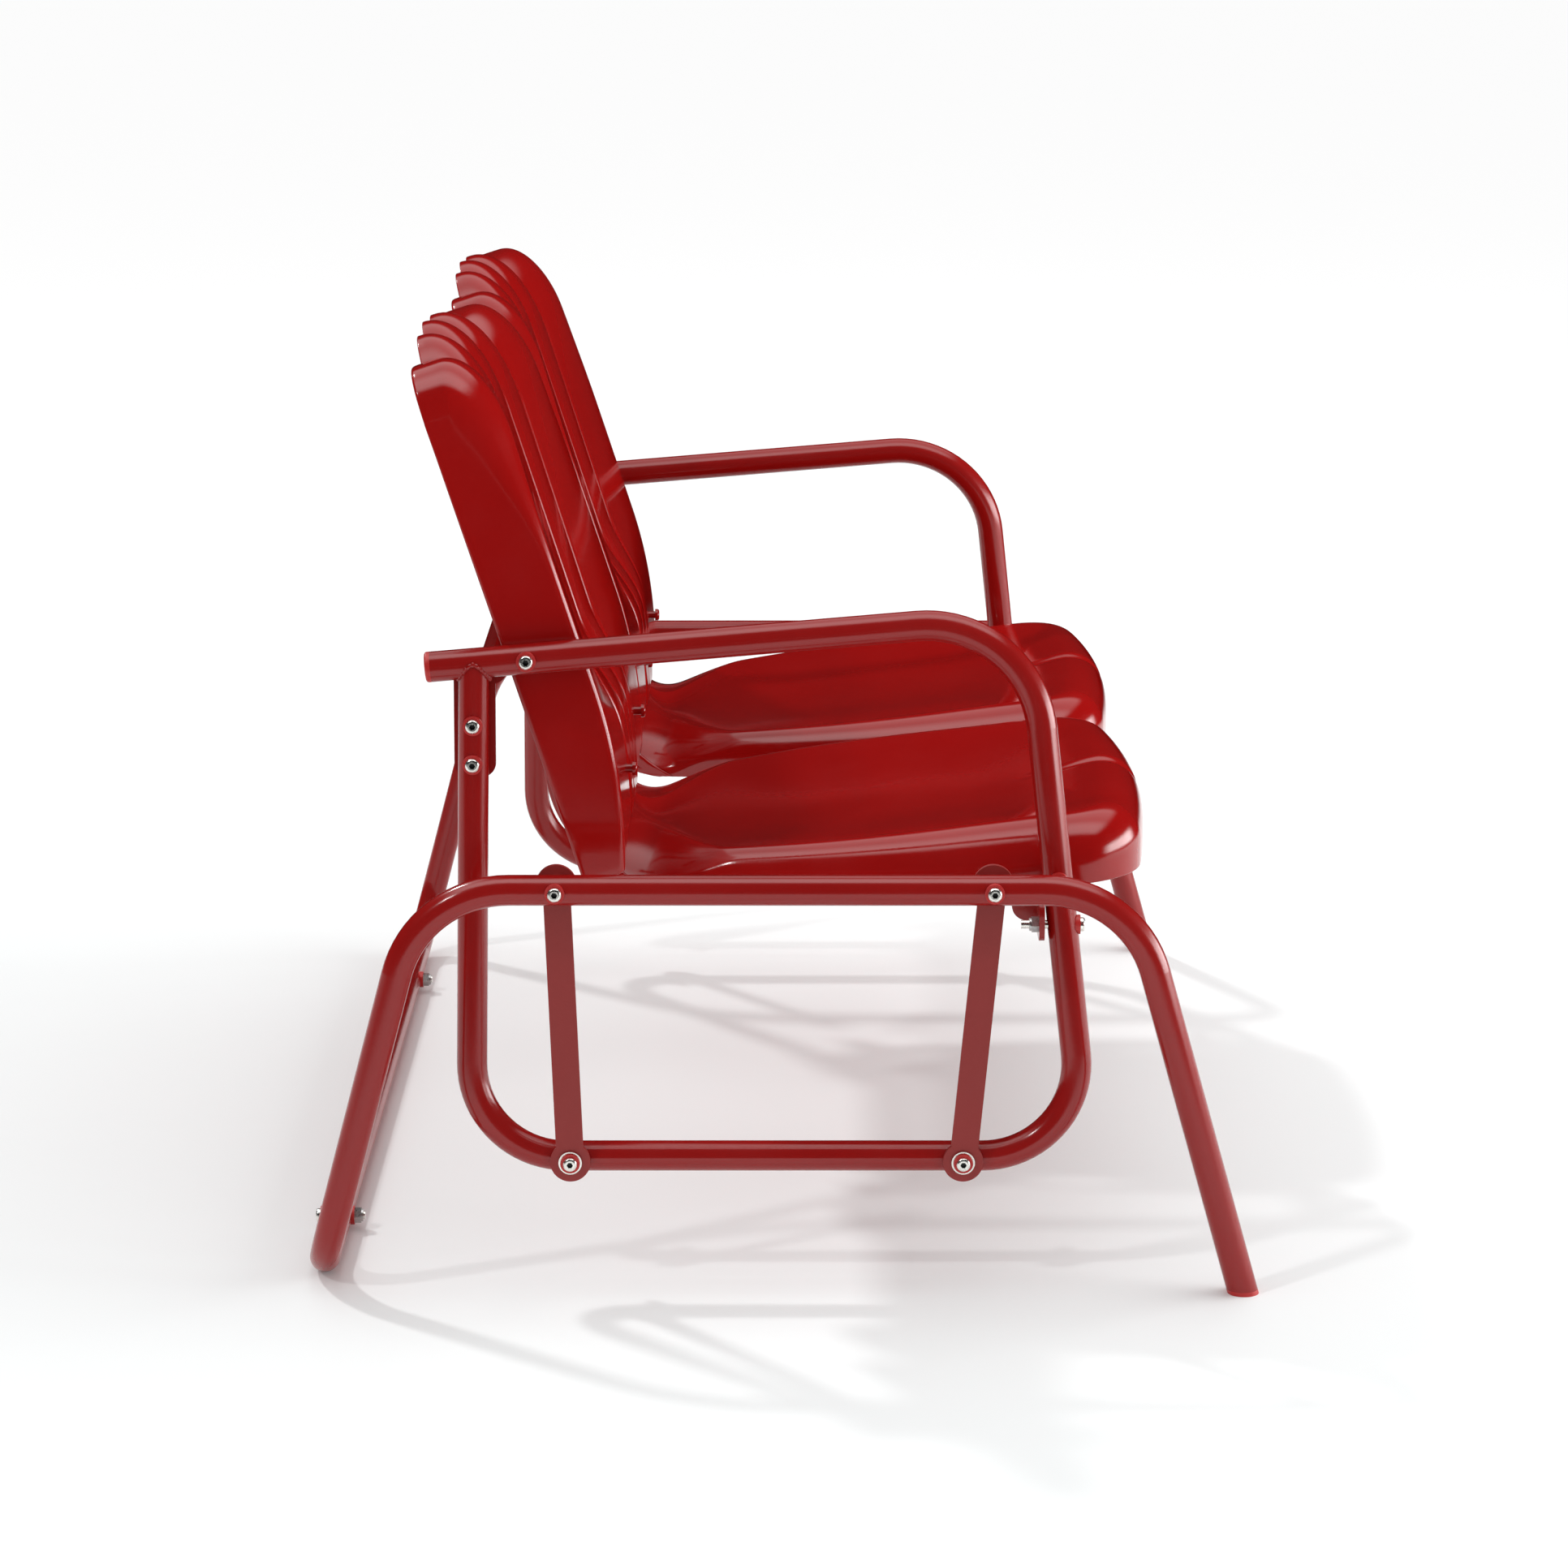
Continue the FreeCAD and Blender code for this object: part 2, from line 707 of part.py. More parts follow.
def flute_section(index, height, share, front, hollow, inset):
    """One flute's outline at a height: a bulging front, and a round fold at an outer side."""
    left = flute_crease(index, share)
    right = flute_crease(index + 1, share)
    bulge = flute_foot_bulge + (flute_bulge - flute_foot_bulge) * share
    rear = cut_margin if inset else 0
    left_y = crease_hollow(index, hollow) + inset - front
    right_y = crease_hollow(index + 1, hollow) + inset - front
    fold = back_fold_radius - inset
    turn = fold * (1 - math.sqrt(0.5))

    def at(x, y):
        return Vector(x, y, height)

    first = [at(left, left_y)]
    last = [at(right, right_y)]
    if index == 0:
        left += inset
        first = [at(left, left_y + fold), at(left + turn, left_y + turn), at(left + fold, left_y)]
    if index == flute_count - 1:
        right -= inset
        last = [at(right - fold, right_y), at(right - turn, right_y + turn), at(right, right_y + fold)]
    edges = []
    if len(first) == 3:
        edges.append(Part.Arc(*first).toShape())
    crown = at((first[-1].x + last[0].x) / 2, (left_y + right_y) / 2 - bulge)
    edges.append(Part.Arc(first[-1], crown, last[0]).toShape())
    if len(last) == 3:
        edges.append(Part.Arc(*last).toShape())
    corners = [last[-1], at(right, rear), at(left, rear), first[0]]
    edges += [Part.LineSegment(a, b).toShape() for a, b in zip(corners, corners[1:])]
    return Part.Wire(edges)


def crown_profile(top, hollow, inset):
    """The side outline of a flute's rounded top."""
    foot_front = inset - back_depth - flute_bulge
    front = foot_front + hollow
    radius = crown_radius - inset
    rear = cut_margin
    low = -2 * back_skirt
    top -= inset
    turn = radius * (1 - math.sqrt(0.5))
    corners = [
        Vector(0, front + radius, top),
        Vector(0, rear, top),
        Vector(0, rear, low),
        Vector(0, foot_front, low),
        Vector(0, foot_front, hollow_full_height),
        Vector(0, front, hollow_full_height),
        Vector(0, front, top - radius),
    ]
    edges = [Part.LineSegment(a, b).toShape() for a, b in zip(corners, corners[1:])]
    middle = Vector(0, front + turn, top - turn)
    edges.append(Part.Arc(corners[-1], middle, corners[0]).toShape())
    return Part.Face(Part.Wire(edges))


def dome_outline(index, inset):
    """The front outline of a flute's domed top."""
    left = flute_crease(index, 1)
    right = flute_crease(index + 1, 1)
    top = flute_top(index) - inset
    low = -2 * back_skirt
    start_drop = shoulder_drop if index == 0 else flute_dome
    end_drop = shoulder_drop if index == flute_count - 1 else flute_dome
    crest_x = (left * end_drop + right * start_drop) / (start_drop + end_drop)
    start = Vector(left, -back_width, top - start_drop)
    crest = Vector((crest_x + (left + right) / 2) / 2, -back_width, top)
    end = Vector(right, -back_width, top - end_drop)
    wide_right = end + X_AXIS * back_width
    wide_left = start - X_AXIS * back_width
    low_right = Vector(wide_right.x, end.y, low)
    low_left = Vector(wide_left.x, end.y, low)
    corners = [end, wide_right, low_right, low_left, wide_left, start]
    edges = [Part.LineSegment(a, b).toShape() for a, b in zip(corners, corners[1:])]
    edges.append(Part.Arc(start, crest, end).toShape())
    return Part.Face(Part.Wire(edges))


def flute(index, inset):
    foot = -back_skirt * (2 if inset else 1)
    foot_front = back_depth - (back_bend_height - foot) * math.tan(back_recline)
    top = crown_height + crown_radius
    levels = [
        (foot, foot_front, 0),
        (back_bend_height, back_depth, 0),
        (hollow_start_height, back_depth, 0),
        (hollow_full_height, back_depth, back_hollow),
        (top, back_depth, back_hollow),
    ]
    sections = []
    for height, front, hollow in levels:
        share = (height - foot) / (top - foot)
        sections.append(flute_section(index, height, share, front, hollow, inset))
    body = Part.makeLoft(sections, True, True)
    crown = crown_profile(flute_top(index), flute_hollow(index), inset).extrude(X_AXIS * (2 * back_width))
    dome = dome_outline(index, inset).extrude(Y_AXIS * (2 * back_width))
    return body.common(crown.translated(X_AXIS * -back_width)).common(dome)


def back_block(inset):
    flutes = [flute(index, inset) for index in range(flute_count)]
    return flutes[0].multiFuse(flutes[1:])


back_foot_reach = back_depth * math.cos(back_recline) - back_bend_height * math.sin(back_recline)
back_foot_front = back_rear_y - back_foot_reach


def seat_meets_back():
    """The height where the seat's curl comes clear of the back's inner face."""
    reach = back_foot_front + panel_wall + back_cutout_gap - upturn_y
    return upturn_z - math.sqrt(upturn_radius ** 2 - reach ** 2)


def back_shell():
    shell = back_block(0).cut(back_block(panel_wall))
    shell.rotate(Vector(0, 0, 0), X_AXIS, -math.degrees(back_recline))
    shell.translate(Vector(0, back_rear_y, back_foot_z))
    half = seat_half + back_cutout_gap
    room = Part.makeBox(2 * half, 2 * back_width, 2 * back_width)
    room.translate(Vector(-half, back_rear_y - back_width, seat_meets_back() - 2 * back_width))
    return shell.cut(room)


# Cross rails

def back_edge_y(height):
    """The rear edge of the back's side flanges at a height."""
    return back_rear_y + (height - back_foot_z) * math.tan(back_recline)


rear_rail_y = back_edge_y(rear_rail_height) + (tube_radius + running_gap) / math.cos(back_recline)
post_centre_y = front_post_y(front_rail_bolt_height)
front_tab_rise = skirt_foot_height(post_centre_y) - front_rail_bolt_height
post_rear_reach = tube_radius / math.cos(front_post_rake) + front_tab_rise * math.tan(front_post_rake)
front_rail_y = post_centre_y + post_rear_reach + saddle_clearance + tube_radius
front_rail_height = skirt_foot_height(front_rail_y) - tube_radius / math.cos(skirt_rake) - front_rail_gap


def short_edges(tab):
    """The edges of a tab that run through its thickness."""
    return [edge for edge in tab.Edges if edge.Length < tab_thickness + tolerance]


def rear_tab(side):
    """A flattened tube end, turned down along the inner side of the rear post."""
    height = rear_tab_top - rear_tab_foot
    middle = (rear_tab_top + rear_tab_foot) / 2
    face = arm_x(middle) - tube_radius / math.cos(arm_lean) - saddle_clearance
    y = rear_post_y(middle)
    start = Vector(-tab_thickness, -tab_width / 2, -height / 2)
    tab = Part.makeBox(tab_thickness, tab_width, height, start)
    corners = [edge for edge in short_edges(tab) if edge.CenterOfMass.z < 0]
    tab = tab.makeFillet(tab_width / 3, corners)
    tab.rotate(Vector(0, 0, 0), Y_AXIS, -math.degrees(arm_lean))
    if side < 0:
        tab = tab.mirror(Vector(0, 0, 0), X_AXIS)
    tab.translate(Vector(side * face, y, middle))
    return tab


def rear_rail():
    middle = Vector(0, rear_rail_y, rear_rail_height)
    face = arm_x(rear_rail_height) - tube_radius / math.cos(arm_lean) - tab_thickness
    length = 2 * (face + tab_thickness / 2)
    rail = bar(middle, X_AXIS, tube_radius, length)
    for side in SIDES.values():
        rail = rail.fuse(rear_tab(side))
    rail = rail.removeSplitter().cut(bar(middle, X_AXIS, tube_bore, 2 * (face - tab_thickness)))
    for side in SIDES.values():
        for height in rear_rail_bolt_heights:
            rail = drill(rail, rear_rail_bolt_point(side, height), X_AXIS, 3 * tube_diameter)
    return rail


def front_tab(side):
    """A flattened tube end behind the front post."""
    x = arm_x(front_rail_bolt_height) + tab_overhang - front_tab_reach
    face = front_rail_y - tube_radius
    box = Part.makeBox(front_tab_reach, tab_thickness, tab_width, Vector(x, face, -tab_width / 2))
    tip = x + front_tab_reach - tolerance
    corners = [edge for edge in short_edges(box) if edge.CenterOfMass.x > tip]
    box = box.makeFillet(tab_width / 3, corners)
    if side < 0:
        box = box.mirror(Vector(0, 0, 0), X_AXIS)
    box.translate(Z_AXIS * (front_rail_height + tube_radius - tab_width / 2))
    return box


def front_rail():
    middle = Vector(0, front_rail_y, front_rail_height)
    half = arm_x(front_rail_bolt_height) - tube_radius - tab_overhang
    rail = bar(middle, X_AXIS, tube_radius, 2 * half)
    for side in SIDES.values():
        rail = rail.fuse(front_tab(side))
    rail = rail.removeSplitter().cut(bar(middle, X_AXIS, tube_bore, 2 * (half - front_tab_reach / 2)))
    for side in SIDES.values():
        rail = drill(rail, front_rail_bolt_point(side), Y_AXIS, 3 * tube_diameter)
    return rail


# Bolts that hold the shells and rails to the arm frames

def rail_hardware():
    bolts, washers, nuts = [], [], []
    for side in SIDES.values():
        out = X_AXIS * side
        axis = post_axis(side, rear_post_y)
        for height in rear_rail_bolt_heights:
            centre = rear_rail_bolt_point(side, height)
            lean_gap = (nut_width + tab_thickness) * math.tan(arm_lean)
            inner = tube_radius / math.cos(arm_lean) + tab_thickness + lean_gap
            beyond = inner - tube_radius + nut_height + nut_collar + bolt_stub
            pin, washer = through_tube(centre, out, axis, beyond)
            bolts.append(pin)
            washers.append(washer)
            nuts.append(nut(centre - out * inner, out * -1))
    return bolts, washers, nuts


def front_rail_hardware():
    bolts, washers, nuts = [], [], []
    ahead = Y_AXIS * -1
    for side in SIDES.values():
        centre = front_rail_bolt_point(side)
        axis = post_axis(side, front_post_y)
        inner = front_rail_y - tube_radius + tab_thickness - centre.y
        beyond = inner - tube_radius + nut_height + nut_collar + front_rail_bolt_stub
        pin, washer = through_tube(centre, ahead, axis, beyond)
        bolts.append(pin)
        washers.append(washer)
        nuts.append(nut(centre - ahead * inner, ahead * -1))
    return bolts, washers, nuts


def panel_hardware(point, tube_axis_of, panel_outer):
    """Bolts along X through an arm tube, a spacer, a panel's flange and a nut."""
    bolts, washers, spacers, nuts = [], [], [], []
    for side in SIDES.values():
        out = X_AXIS * side
        centre = point(side)
        axis = tube_axis_of(side)
        gap = abs(centre.x) - tube_radius - panel_outer
        beyond = gap + panel_wall + nut_height + nut_collar + bolt_stub
        pin, washer = through_tube(centre, out, axis, beyond)
        bolts.append(pin)
        washers.append(washer)
        spacers.append(saddle(centre, out * -1, axis, gap, washer_diameter))
        nuts.append(nut(centre - out * (tube_radius + gap + panel_wall), out * -1))
    return bolts, washers, spacers, nuts


def joining_places():
    """The points on the centre plane where neighbouring shells are bolted together."""
    back = Vector(0, back_bolt_y, arm_height(back_bolt_y))
    seat = Vector(0, joining_bolt_y, joining_bolt_height)
    return [(back, back_inner), (seat, seat_inner)]


def joining_hardware():
    bolts, spacers, nuts = [], [], []
    for point, inner in joining_places():
        reach = inner + panel_wall
        seat = point - X_AXIS * reach
        length = 2 * reach + nut_height + nut_collar + bolt_stub
        bolts.append(bolt(seat, X_AXIS, length))
        spacers.append(ring(point - X_AXIS * inner, X_AXIS, plain_washer / 2, hole_radius, 2 * inner))
        nuts.append(nut(point + X_AXIS * reach, X_AXIS))
    return bolts, spacers, nuts


# Bolts that hold each back to the curled rear of its seat

shell_bolt_height = upturn_z - shell_bolt_drop
seat_curl_y = upturn_y + math.sqrt((upturn_radius + panel_wall) ** 2 - shell_bolt_drop ** 2)


def shell_bolt_points():
    return [Vector(side * shell_bolt_pitch, back_foot_front, shell_bolt_height) for side in SIDES.values()]


def front_face_y(shell, point):
    """Where a line along Y first meets a shell."""
    reach = Y_AXIS * back_depth
    probe = Part.LineSegment(point - reach, point + reach).toShape()
    return min(vertex.Y for vertex in probe.common(shell).Vertexes)


def shell_hardware():
    bolts, nuts = [], []
    shell = back_shell()
    curl_slope = math.tan(math.asin(shell_bolt_drop / upturn_radius))
    nut_seat = seat_curl_y + nut_width / 2 * curl_slope
    for side in SIDES.values():
        for point in shell_bolt_points():
            shift = X_AXIS * (side * panel_offset)
            head_seat = front_face_y(shell, point) - running_gap
            start = Vector(point.x, head_seat, point.z) + shift
            length = nut_seat - head_seat + nut_height + nut_collar + bolt_stub
            bolts.append(bolt(start, Y_AXIS, length))
            nuts.append(nut(Vector(start.x, nut_seat, point.z), Y_AXIS))
    return bolts, nuts


def drilled_seat(side):
    pan = seat_pan().translated(X_AXIS * (side * panel_offset))
    pan = drill(pan, seat_bolt_point(side) - X_AXIS * (side * 2 * tube_radius), X_AXIS, 4 * tube_diameter)
    pan = drill(pan, joining_places()[1][0], X_AXIS, 2 * tube_diameter)
    for point in shell_bolt_points():
        pan = drill(pan, point + X_AXIS * (side * panel_offset), Y_AXIS, 4 * tube_diameter)
    return pan


def drilled_back(side):
    shell = back_shell().translated(X_AXIS * (side * panel_offset))
    shell = drill(shell, back_bolt_point(side), X_AXIS, 3 * tube_diameter)
    shell = drill(shell, joining_places()[0][0], X_AXIS, 2 * tube_diameter)
    for point in shell_bolt_points():
        shell = drill(shell, point + X_AXIS * (side * panel_offset), Y_AXIS, 4 * tube_diameter)
    return shell


def build():
    """Every named piece of the loveseat."""
    nodes = {}
    for name, side in SIDES.items():
        nodes["base_side_" + name] = base_side(side)
        nodes["arm_frame_" + name] = arm_frame(side)
        nodes["seat_pan_" + name] = drilled_seat(side)
        nodes["back_shell_" + name] = drilled_back(side)
        for place, rear in (("rear", True), ("front", False)):
            nodes[f"{place}_hanger_{name}"] = hanger(side, rear)
            nodes[f"{place}_hanger_{name}_bushes"] = group(hanger_bushes(side, rear))
    nodes["rear_stretcher"] = stretcher()
    nodes["rear_cross_rail"] = rear_rail()
    nodes["front_cross_rail"] = front_rail()
    nodes["foot_plugs"] = group([foot_plug(side) for side in SIDES.values()])
    nodes["arm_plugs"] = group([arm_plug(side) for side in SIDES.values()])
    back_stack = panel_hardware(back_bolt_point, arm_axis, back_outer)
    seat_stack = panel_hardware(seat_bolt_point, lambda side: post_axis(side, front_post_y), seat_outer)
    stacks = {
        "stretcher": (("bolts", "washers", "nuts"), stretcher_hardware()),
        "hanger_top": (("bolts", "washers", "spacers", "nuts"), top_pivot_hardware()),
        "hanger_bottom": (("bolts", "washers", "rings", "spacers", "nuts"), bottom_pivot_hardware()),
        "rear_rail": (("bolts", "washers", "nuts"), rail_hardware()),
        "front_rail": (("bolts", "washers", "nuts"), front_rail_hardware()),
        "back": (("bolts", "washers", "spacers", "nuts"), back_stack),
        "seat": (("bolts", "washers", "spacers", "nuts"), seat_stack),
        "joining": (("bolts", "spacers", "nuts"), joining_hardware()),
        "shell": (("bolts", "nuts"), shell_hardware()),
    }
    for stack, (kinds, pieces) in stacks.items():
        for kind, shapes in zip(kinds, pieces):
            nodes[f"{stack}_{kind}"] = group(shapes)
    return nodes


os.makedirs("parts", exist_ok=True)
for node, shape in build().items():
    shape.exportStep(f"parts/{node}.step")
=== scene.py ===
import math

import bmesh
import bpy
from mathutils import Matrix, Vector


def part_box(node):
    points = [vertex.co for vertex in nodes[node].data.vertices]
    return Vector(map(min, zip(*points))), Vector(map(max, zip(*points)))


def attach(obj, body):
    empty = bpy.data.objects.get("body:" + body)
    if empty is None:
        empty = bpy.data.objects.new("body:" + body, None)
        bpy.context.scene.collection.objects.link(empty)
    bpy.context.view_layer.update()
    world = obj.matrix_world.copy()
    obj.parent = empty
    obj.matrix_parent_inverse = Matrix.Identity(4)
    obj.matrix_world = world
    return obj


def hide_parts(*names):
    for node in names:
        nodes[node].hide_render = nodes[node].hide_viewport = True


# Looks of the outdoor glider loveseat, in metres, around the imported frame.
# +Z is up, the sitter faces -Y, and +X is the sitter's left.

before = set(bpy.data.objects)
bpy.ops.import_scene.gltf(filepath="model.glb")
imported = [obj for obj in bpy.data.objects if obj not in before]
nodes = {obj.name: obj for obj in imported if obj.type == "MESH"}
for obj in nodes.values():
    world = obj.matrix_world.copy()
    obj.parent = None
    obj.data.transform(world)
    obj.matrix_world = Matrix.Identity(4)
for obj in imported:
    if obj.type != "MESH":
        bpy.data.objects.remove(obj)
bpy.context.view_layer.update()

# Sizes taken from the frame
seat_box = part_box("seat_pan_left")
back_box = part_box("back_shell_left")
panel_offset = (back_box[0].x + back_box[1].x) / 2
seat_half = (seat_box[1].x - seat_box[0].x) / 2
back_half = (back_box[1].x - back_box[0].x) / 2

# Pressed sheet
sheet_wall = 0.002
merge_distance = 0.00002
quarter_turn = math.radians(90)

# Seat pans: the top in side view, and the outline from above
seat_rake = math.radians(7.0)
seat_plane_y = 0.0655
seat_plane_z = 0.3796
seat_nose_y = -0.350
nose_bow = 1.400
nose_corner = 0.078
taper_start_y = -0.170
taper_bend = 0.600
seat_taper = math.radians(16.0)
wall_y = 0.153
wall_top_z = 0.469
curl_radius = 0.036
cap_roll = 0.010

# Seat skirt, which turns up round the rear
skirt_centre_y = 0.109
skirt_centre_z = 0.457
skirt_radius = 0.113
skirt_rake = math.radians(2.5)
skirt_turn_curve = 1.3
skirt_turn_start = 0.10
skirt_turn_full = 0.50
rear_skirt_drop = 0.010
rear_drop_start_y = -0.10
rear_drop_full_y = 0.08

# Seat rim, rolled over its edge, and the round rear corners
rim_roll_front = 0.042
rim_roll_rear = 0.024
rim_roll_cap = 0.011
rim_front_along = -0.35
rim_rear_along = -0.05
corner_width = 0.150
corner_width_start = -0.07
corner_width_full = 0.03
corner_drop = 0.052
corner_drop_start = -0.04
corner_drop_full = 0.7
corner_end = 0.02

# Seat dish, and the crease over the nose
fan_y = -0.250
dish_depth = 0.0155
dish_at_nose = 0.0024
dish_nose_y = -0.310
dish_full_y = -0.180
dish_fade_start = -0.15
dish_fade = 0.6
dish_curl_fade = 0.3
crease_depth = 0.005
crease_width = 0.007
crease_start = 0.03
crease_full = 0.01
crease_foot = 0.2
crease_lean = 0.6

# Rows and columns of the seat's sheet
side_columns = 74
nose_columns = 46
seat_rows = 44
skirt_rows = 8
roll_rows = 12

# Back shells, five flutes each
recline = math.radians(18.1)
back_rear_y = 0.1848
back_foot_z = 0.3724
back_depth = 0.070
back_foot_drop = 0.012
back_front_foot = 0.0
back_foot_blend = 0.15
back_bend_height = 0.160
back_hollow = 0.024
hollow_start_height = 0.085
hollow_full_height = 0.180
flute_count = 5
flute_top_pitch = 0.085
flute_foot_pitch = 0.056
flute_crowding = 0.84
flute_bulge = 0.0035
flute_foot_bulge = 0.002
flute_dome = 0.011
crown_height = 0.501
crown_step = 0.004
crown_curve = 1.8
crown_radius = 0.045
crown_drop = 0.085
fold_radius = 0.007
shoulder_radius = 0.046
shoulder_start = 0.7
shoulder_full = 0.6

# Grooves between the flutes, and down the lower half of the outer flutes
groove_depth = 0.0030
groove_width = 0.0040
side_groove_share = 0.55
side_groove_top = 0.365
side_groove_full = 0.300
side_groove_part = 0.8

# Rows and columns of the back's sheet
flange_columns = 8
fold_columns = 8
flute_columns = 16
front_rows = 52
crown_rows = 14
top_rows = 5
back_columns = 2 * (flange_columns + fold_columns) + flute_count * flute_columns
back_rows = front_rows + crown_rows + top_rows

# Weld beads where the rear posts meet the arms
tube_radius = 0.014
arm_lean = math.radians(5.2)
weld_place = Vector((0.5216, 0.2786, 0.5743))
weld_size = 0.0024
weld_segments = 10
weld_steps = 156
weld_runs = 26
weld_ripple = 0.16
weld_wander = 3
saddle_curve = 1.5

# Sockets in the bolt heads, whose inner faces get a near-black painted shade
socket_reach = 0.0034
socket_depth = 0.0028
socket_lip = 0.0003
socket_merge = 0.000001

# Paint, plating and plastic
speck_share = 0.2
paint_ior = 1.5
peel_height = 0.0006
turning_height = 0.0002
mould_spread = 0.12
mould_grain = 0.12
mould_height = 0.0003

# Floor, and the plain colours of the stage
black = (0.0, 0.0, 0.0, 1)
white = (1.0, 1.0, 1.0, 1)
floor_reach = 40.0
floor_shade = (0.845, 0.865, 0.865, 1)
floor_tint = (0.855, 0.875, 0.875, 1)
floor_far = (0.99, 0.99, 0.99, 1)
floor_fade_x = (1.0, 5.0)
floor_rough = 0.9

# Dark cards that lie on the floor, painted shade for the floor beyond the lit patch as reflections show it,
# and the dark room
card_lift = 0.002
card_reach = 12.0
near_card_edge = -1.5
far_card_edge = 1.6
far_card_end = 14.0
room_radius = 14.0
room_foot = 0.01
room_glow = 0.010

# Shining cards: their places, and where each fades in, out or dims
overhead_height = 4.0
overhead_fade_y = (2.4, 3.6)
overhead_near_x = (-2.4, -1.4)
overhead_far_x = (3.4, 5.0)
overhead_dim_x = (-0.6, 1.0)
overhead_dim = 0.6
front_card_y = -4.5
front_near_x = (-3.2, -1.6)
front_far_x = (1.0, 3.0)
front_low_z = (0.1, 0.5)
front_high_z = (1.2, 2.0)

# Lamps and sky
sun_spread = math.radians(4.0)
sun_target = (0, 0, 0.3)
sky_light = 0.66

# Camera that looks at the right-hand side
camera_place = Vector((-4.5386, -0.0034, 1.3916))
camera_pitch = math.radians(13.03)
camera_lens = 103.43
camera_sensor = 36.0
camera_reach = 200.0


# Shader maths

class Wire:
    """An output socket of a finish's nodes, so that shader maths reads as plain expressions."""

    def __init__(self, tree, socket=None):
        self.tree = tree
        self.socket = socket

    def node(self, kind, settings, inputs, output=0):
        """Adds a node: first its settings, then the values or links of its input sockets."""
        made = self.tree.nodes.new(kind)
        for name, value in settings.items():
            setattr(made, name, value)
        for name, value in inputs.items():
            if isinstance(value, Wire):
                self.tree.links.new(value.socket, made.inputs[name])
            else:
                made.inputs[name].default_value = value
        return Wire(self.tree, made.outputs[output])

    def maths(self, operation, *values):
        return self.node("ShaderNodeMath", {"operation": operation}, dict(enumerate(values)))

    def __add__(self, other):
        return self.maths("ADD", self, other)

    def __sub__(self, other):
        return self.maths("SUBTRACT", self, other)

    def __rsub__(self, other):
        return self.maths("SUBTRACT", other, self)

    def __mul__(self, other):
        return self.maths("MULTIPLY", self, other)

    __radd__ = __add__
    __rmul__ = __mul__

    def band(self, low, high):
        """0 at low, 1 at high and a smooth step between; low may be the greater."""
        settings = {"interpolation_type": "SMOOTHSTEP"}
        return self.node("ShaderNodeMapRange", settings, {"Value": self, "From Min": low, "From Max": high})

    def mix(self, first, second):
        """A blend of two colours, with this value as its factor."""
        settings = {"data_type": "RGBA"}
        return self.node("ShaderNodeMix", settings, {"Factor": self, 6: first, 7: second}, 2)


def start_finish(name):
    """A new material: its shader node and a wire to build the rest with."""
    material = bpy.data.materials.new(name)
    material.use_nodes = True
    tree = material.node_tree
    return material, tree.nodes["Principled BSDF"], Wire(tree)


def grain(wire, scale, detail=2.0):
    """Soft noise over the surface; a scale of 1 has lumps about a metre apart."""
    place = wire.node("ShaderNodeTexCoord", {}, {}, "Object")
    return wire.node("ShaderNodeTexNoise", {}, {"Vector": place, "Scale": scale, "Detail": detail}, "Fac")


def connect(shader, **wires):
    """Links wires to the shader's sockets, named with underscores for spaces."""
    for name, wire in wires.items():
        wire.tree.links.new(wire.socket, shader.inputs[name.replace("_", " ")])


def bump(wire, height, strength, distance):
    inputs = {"Height": height, "Strength": strength, "Distance": distance}
    return wire.node("ShaderNodeBump", {}, inputs, "Normal")


def enamel(name, deep, bright, rough, spread, peel):
    """Baked red enamel: a slight drift of colour, uneven gloss and a fine orange peel."""
    material, shader, wire = start_finish(name)
    drift = grain(wire, scale=3.5, detail=3.0).band(0.3, 0.7)
    speck = grain(wire, scale=160.0).band(0.35, 0.75)
    dust = grain(wire, scale=14.0, detail=5.0).band(0.35, 0.8)
    shade = drift * (1 - speck_share) + speck * speck_share
    connect(shader, Base_Color=shade.mix(deep, bright), Roughness=dust * spread + rough)
    ripple = grain(wire, scale=420.0, detail=1.0)
    connect(shader, Normal=bump(wire, ripple, strength=peel, distance=peel_height))
    shader.inputs["IOR"].default_value = paint_ior
    return material


def plain_metal(name, dark, light, rough, spread, scratch):
    """Plated steel with fine turning marks."""
    material, shader, wire = start_finish(name)
    marks = grain(wire, scale=900.0, detail=4.0).band(0.3, 0.7)
    cloud = grain(wire, scale=90.0, detail=3.0).band(0.3, 0.75)
    connect(shader, Base_Color=cloud.mix(dark, light), Roughness=marks * spread + rough)
    connect(shader, Normal=bump(wire, marks, strength=scratch, distance=turning_height))
    shader.inputs["Metallic"].default_value = 1.0
    return material


def moulded(name, deep, bright, rough):
    """Moulded plastic with a faint matt grain."""
    material, shader, wire = start_finish(name)
    cloud = grain(wire, scale=45.0, detail=3.0).band(0.3, 0.7)
    fine = grain(wire, scale=1400.0)
    connect(shader, Base_Color=cloud.mix(deep, bright), Roughness=cloud * mould_spread + rough)
    connect(shader, Normal=bump(wire, fine, strength=mould_grain, distance=mould_height))
    return material


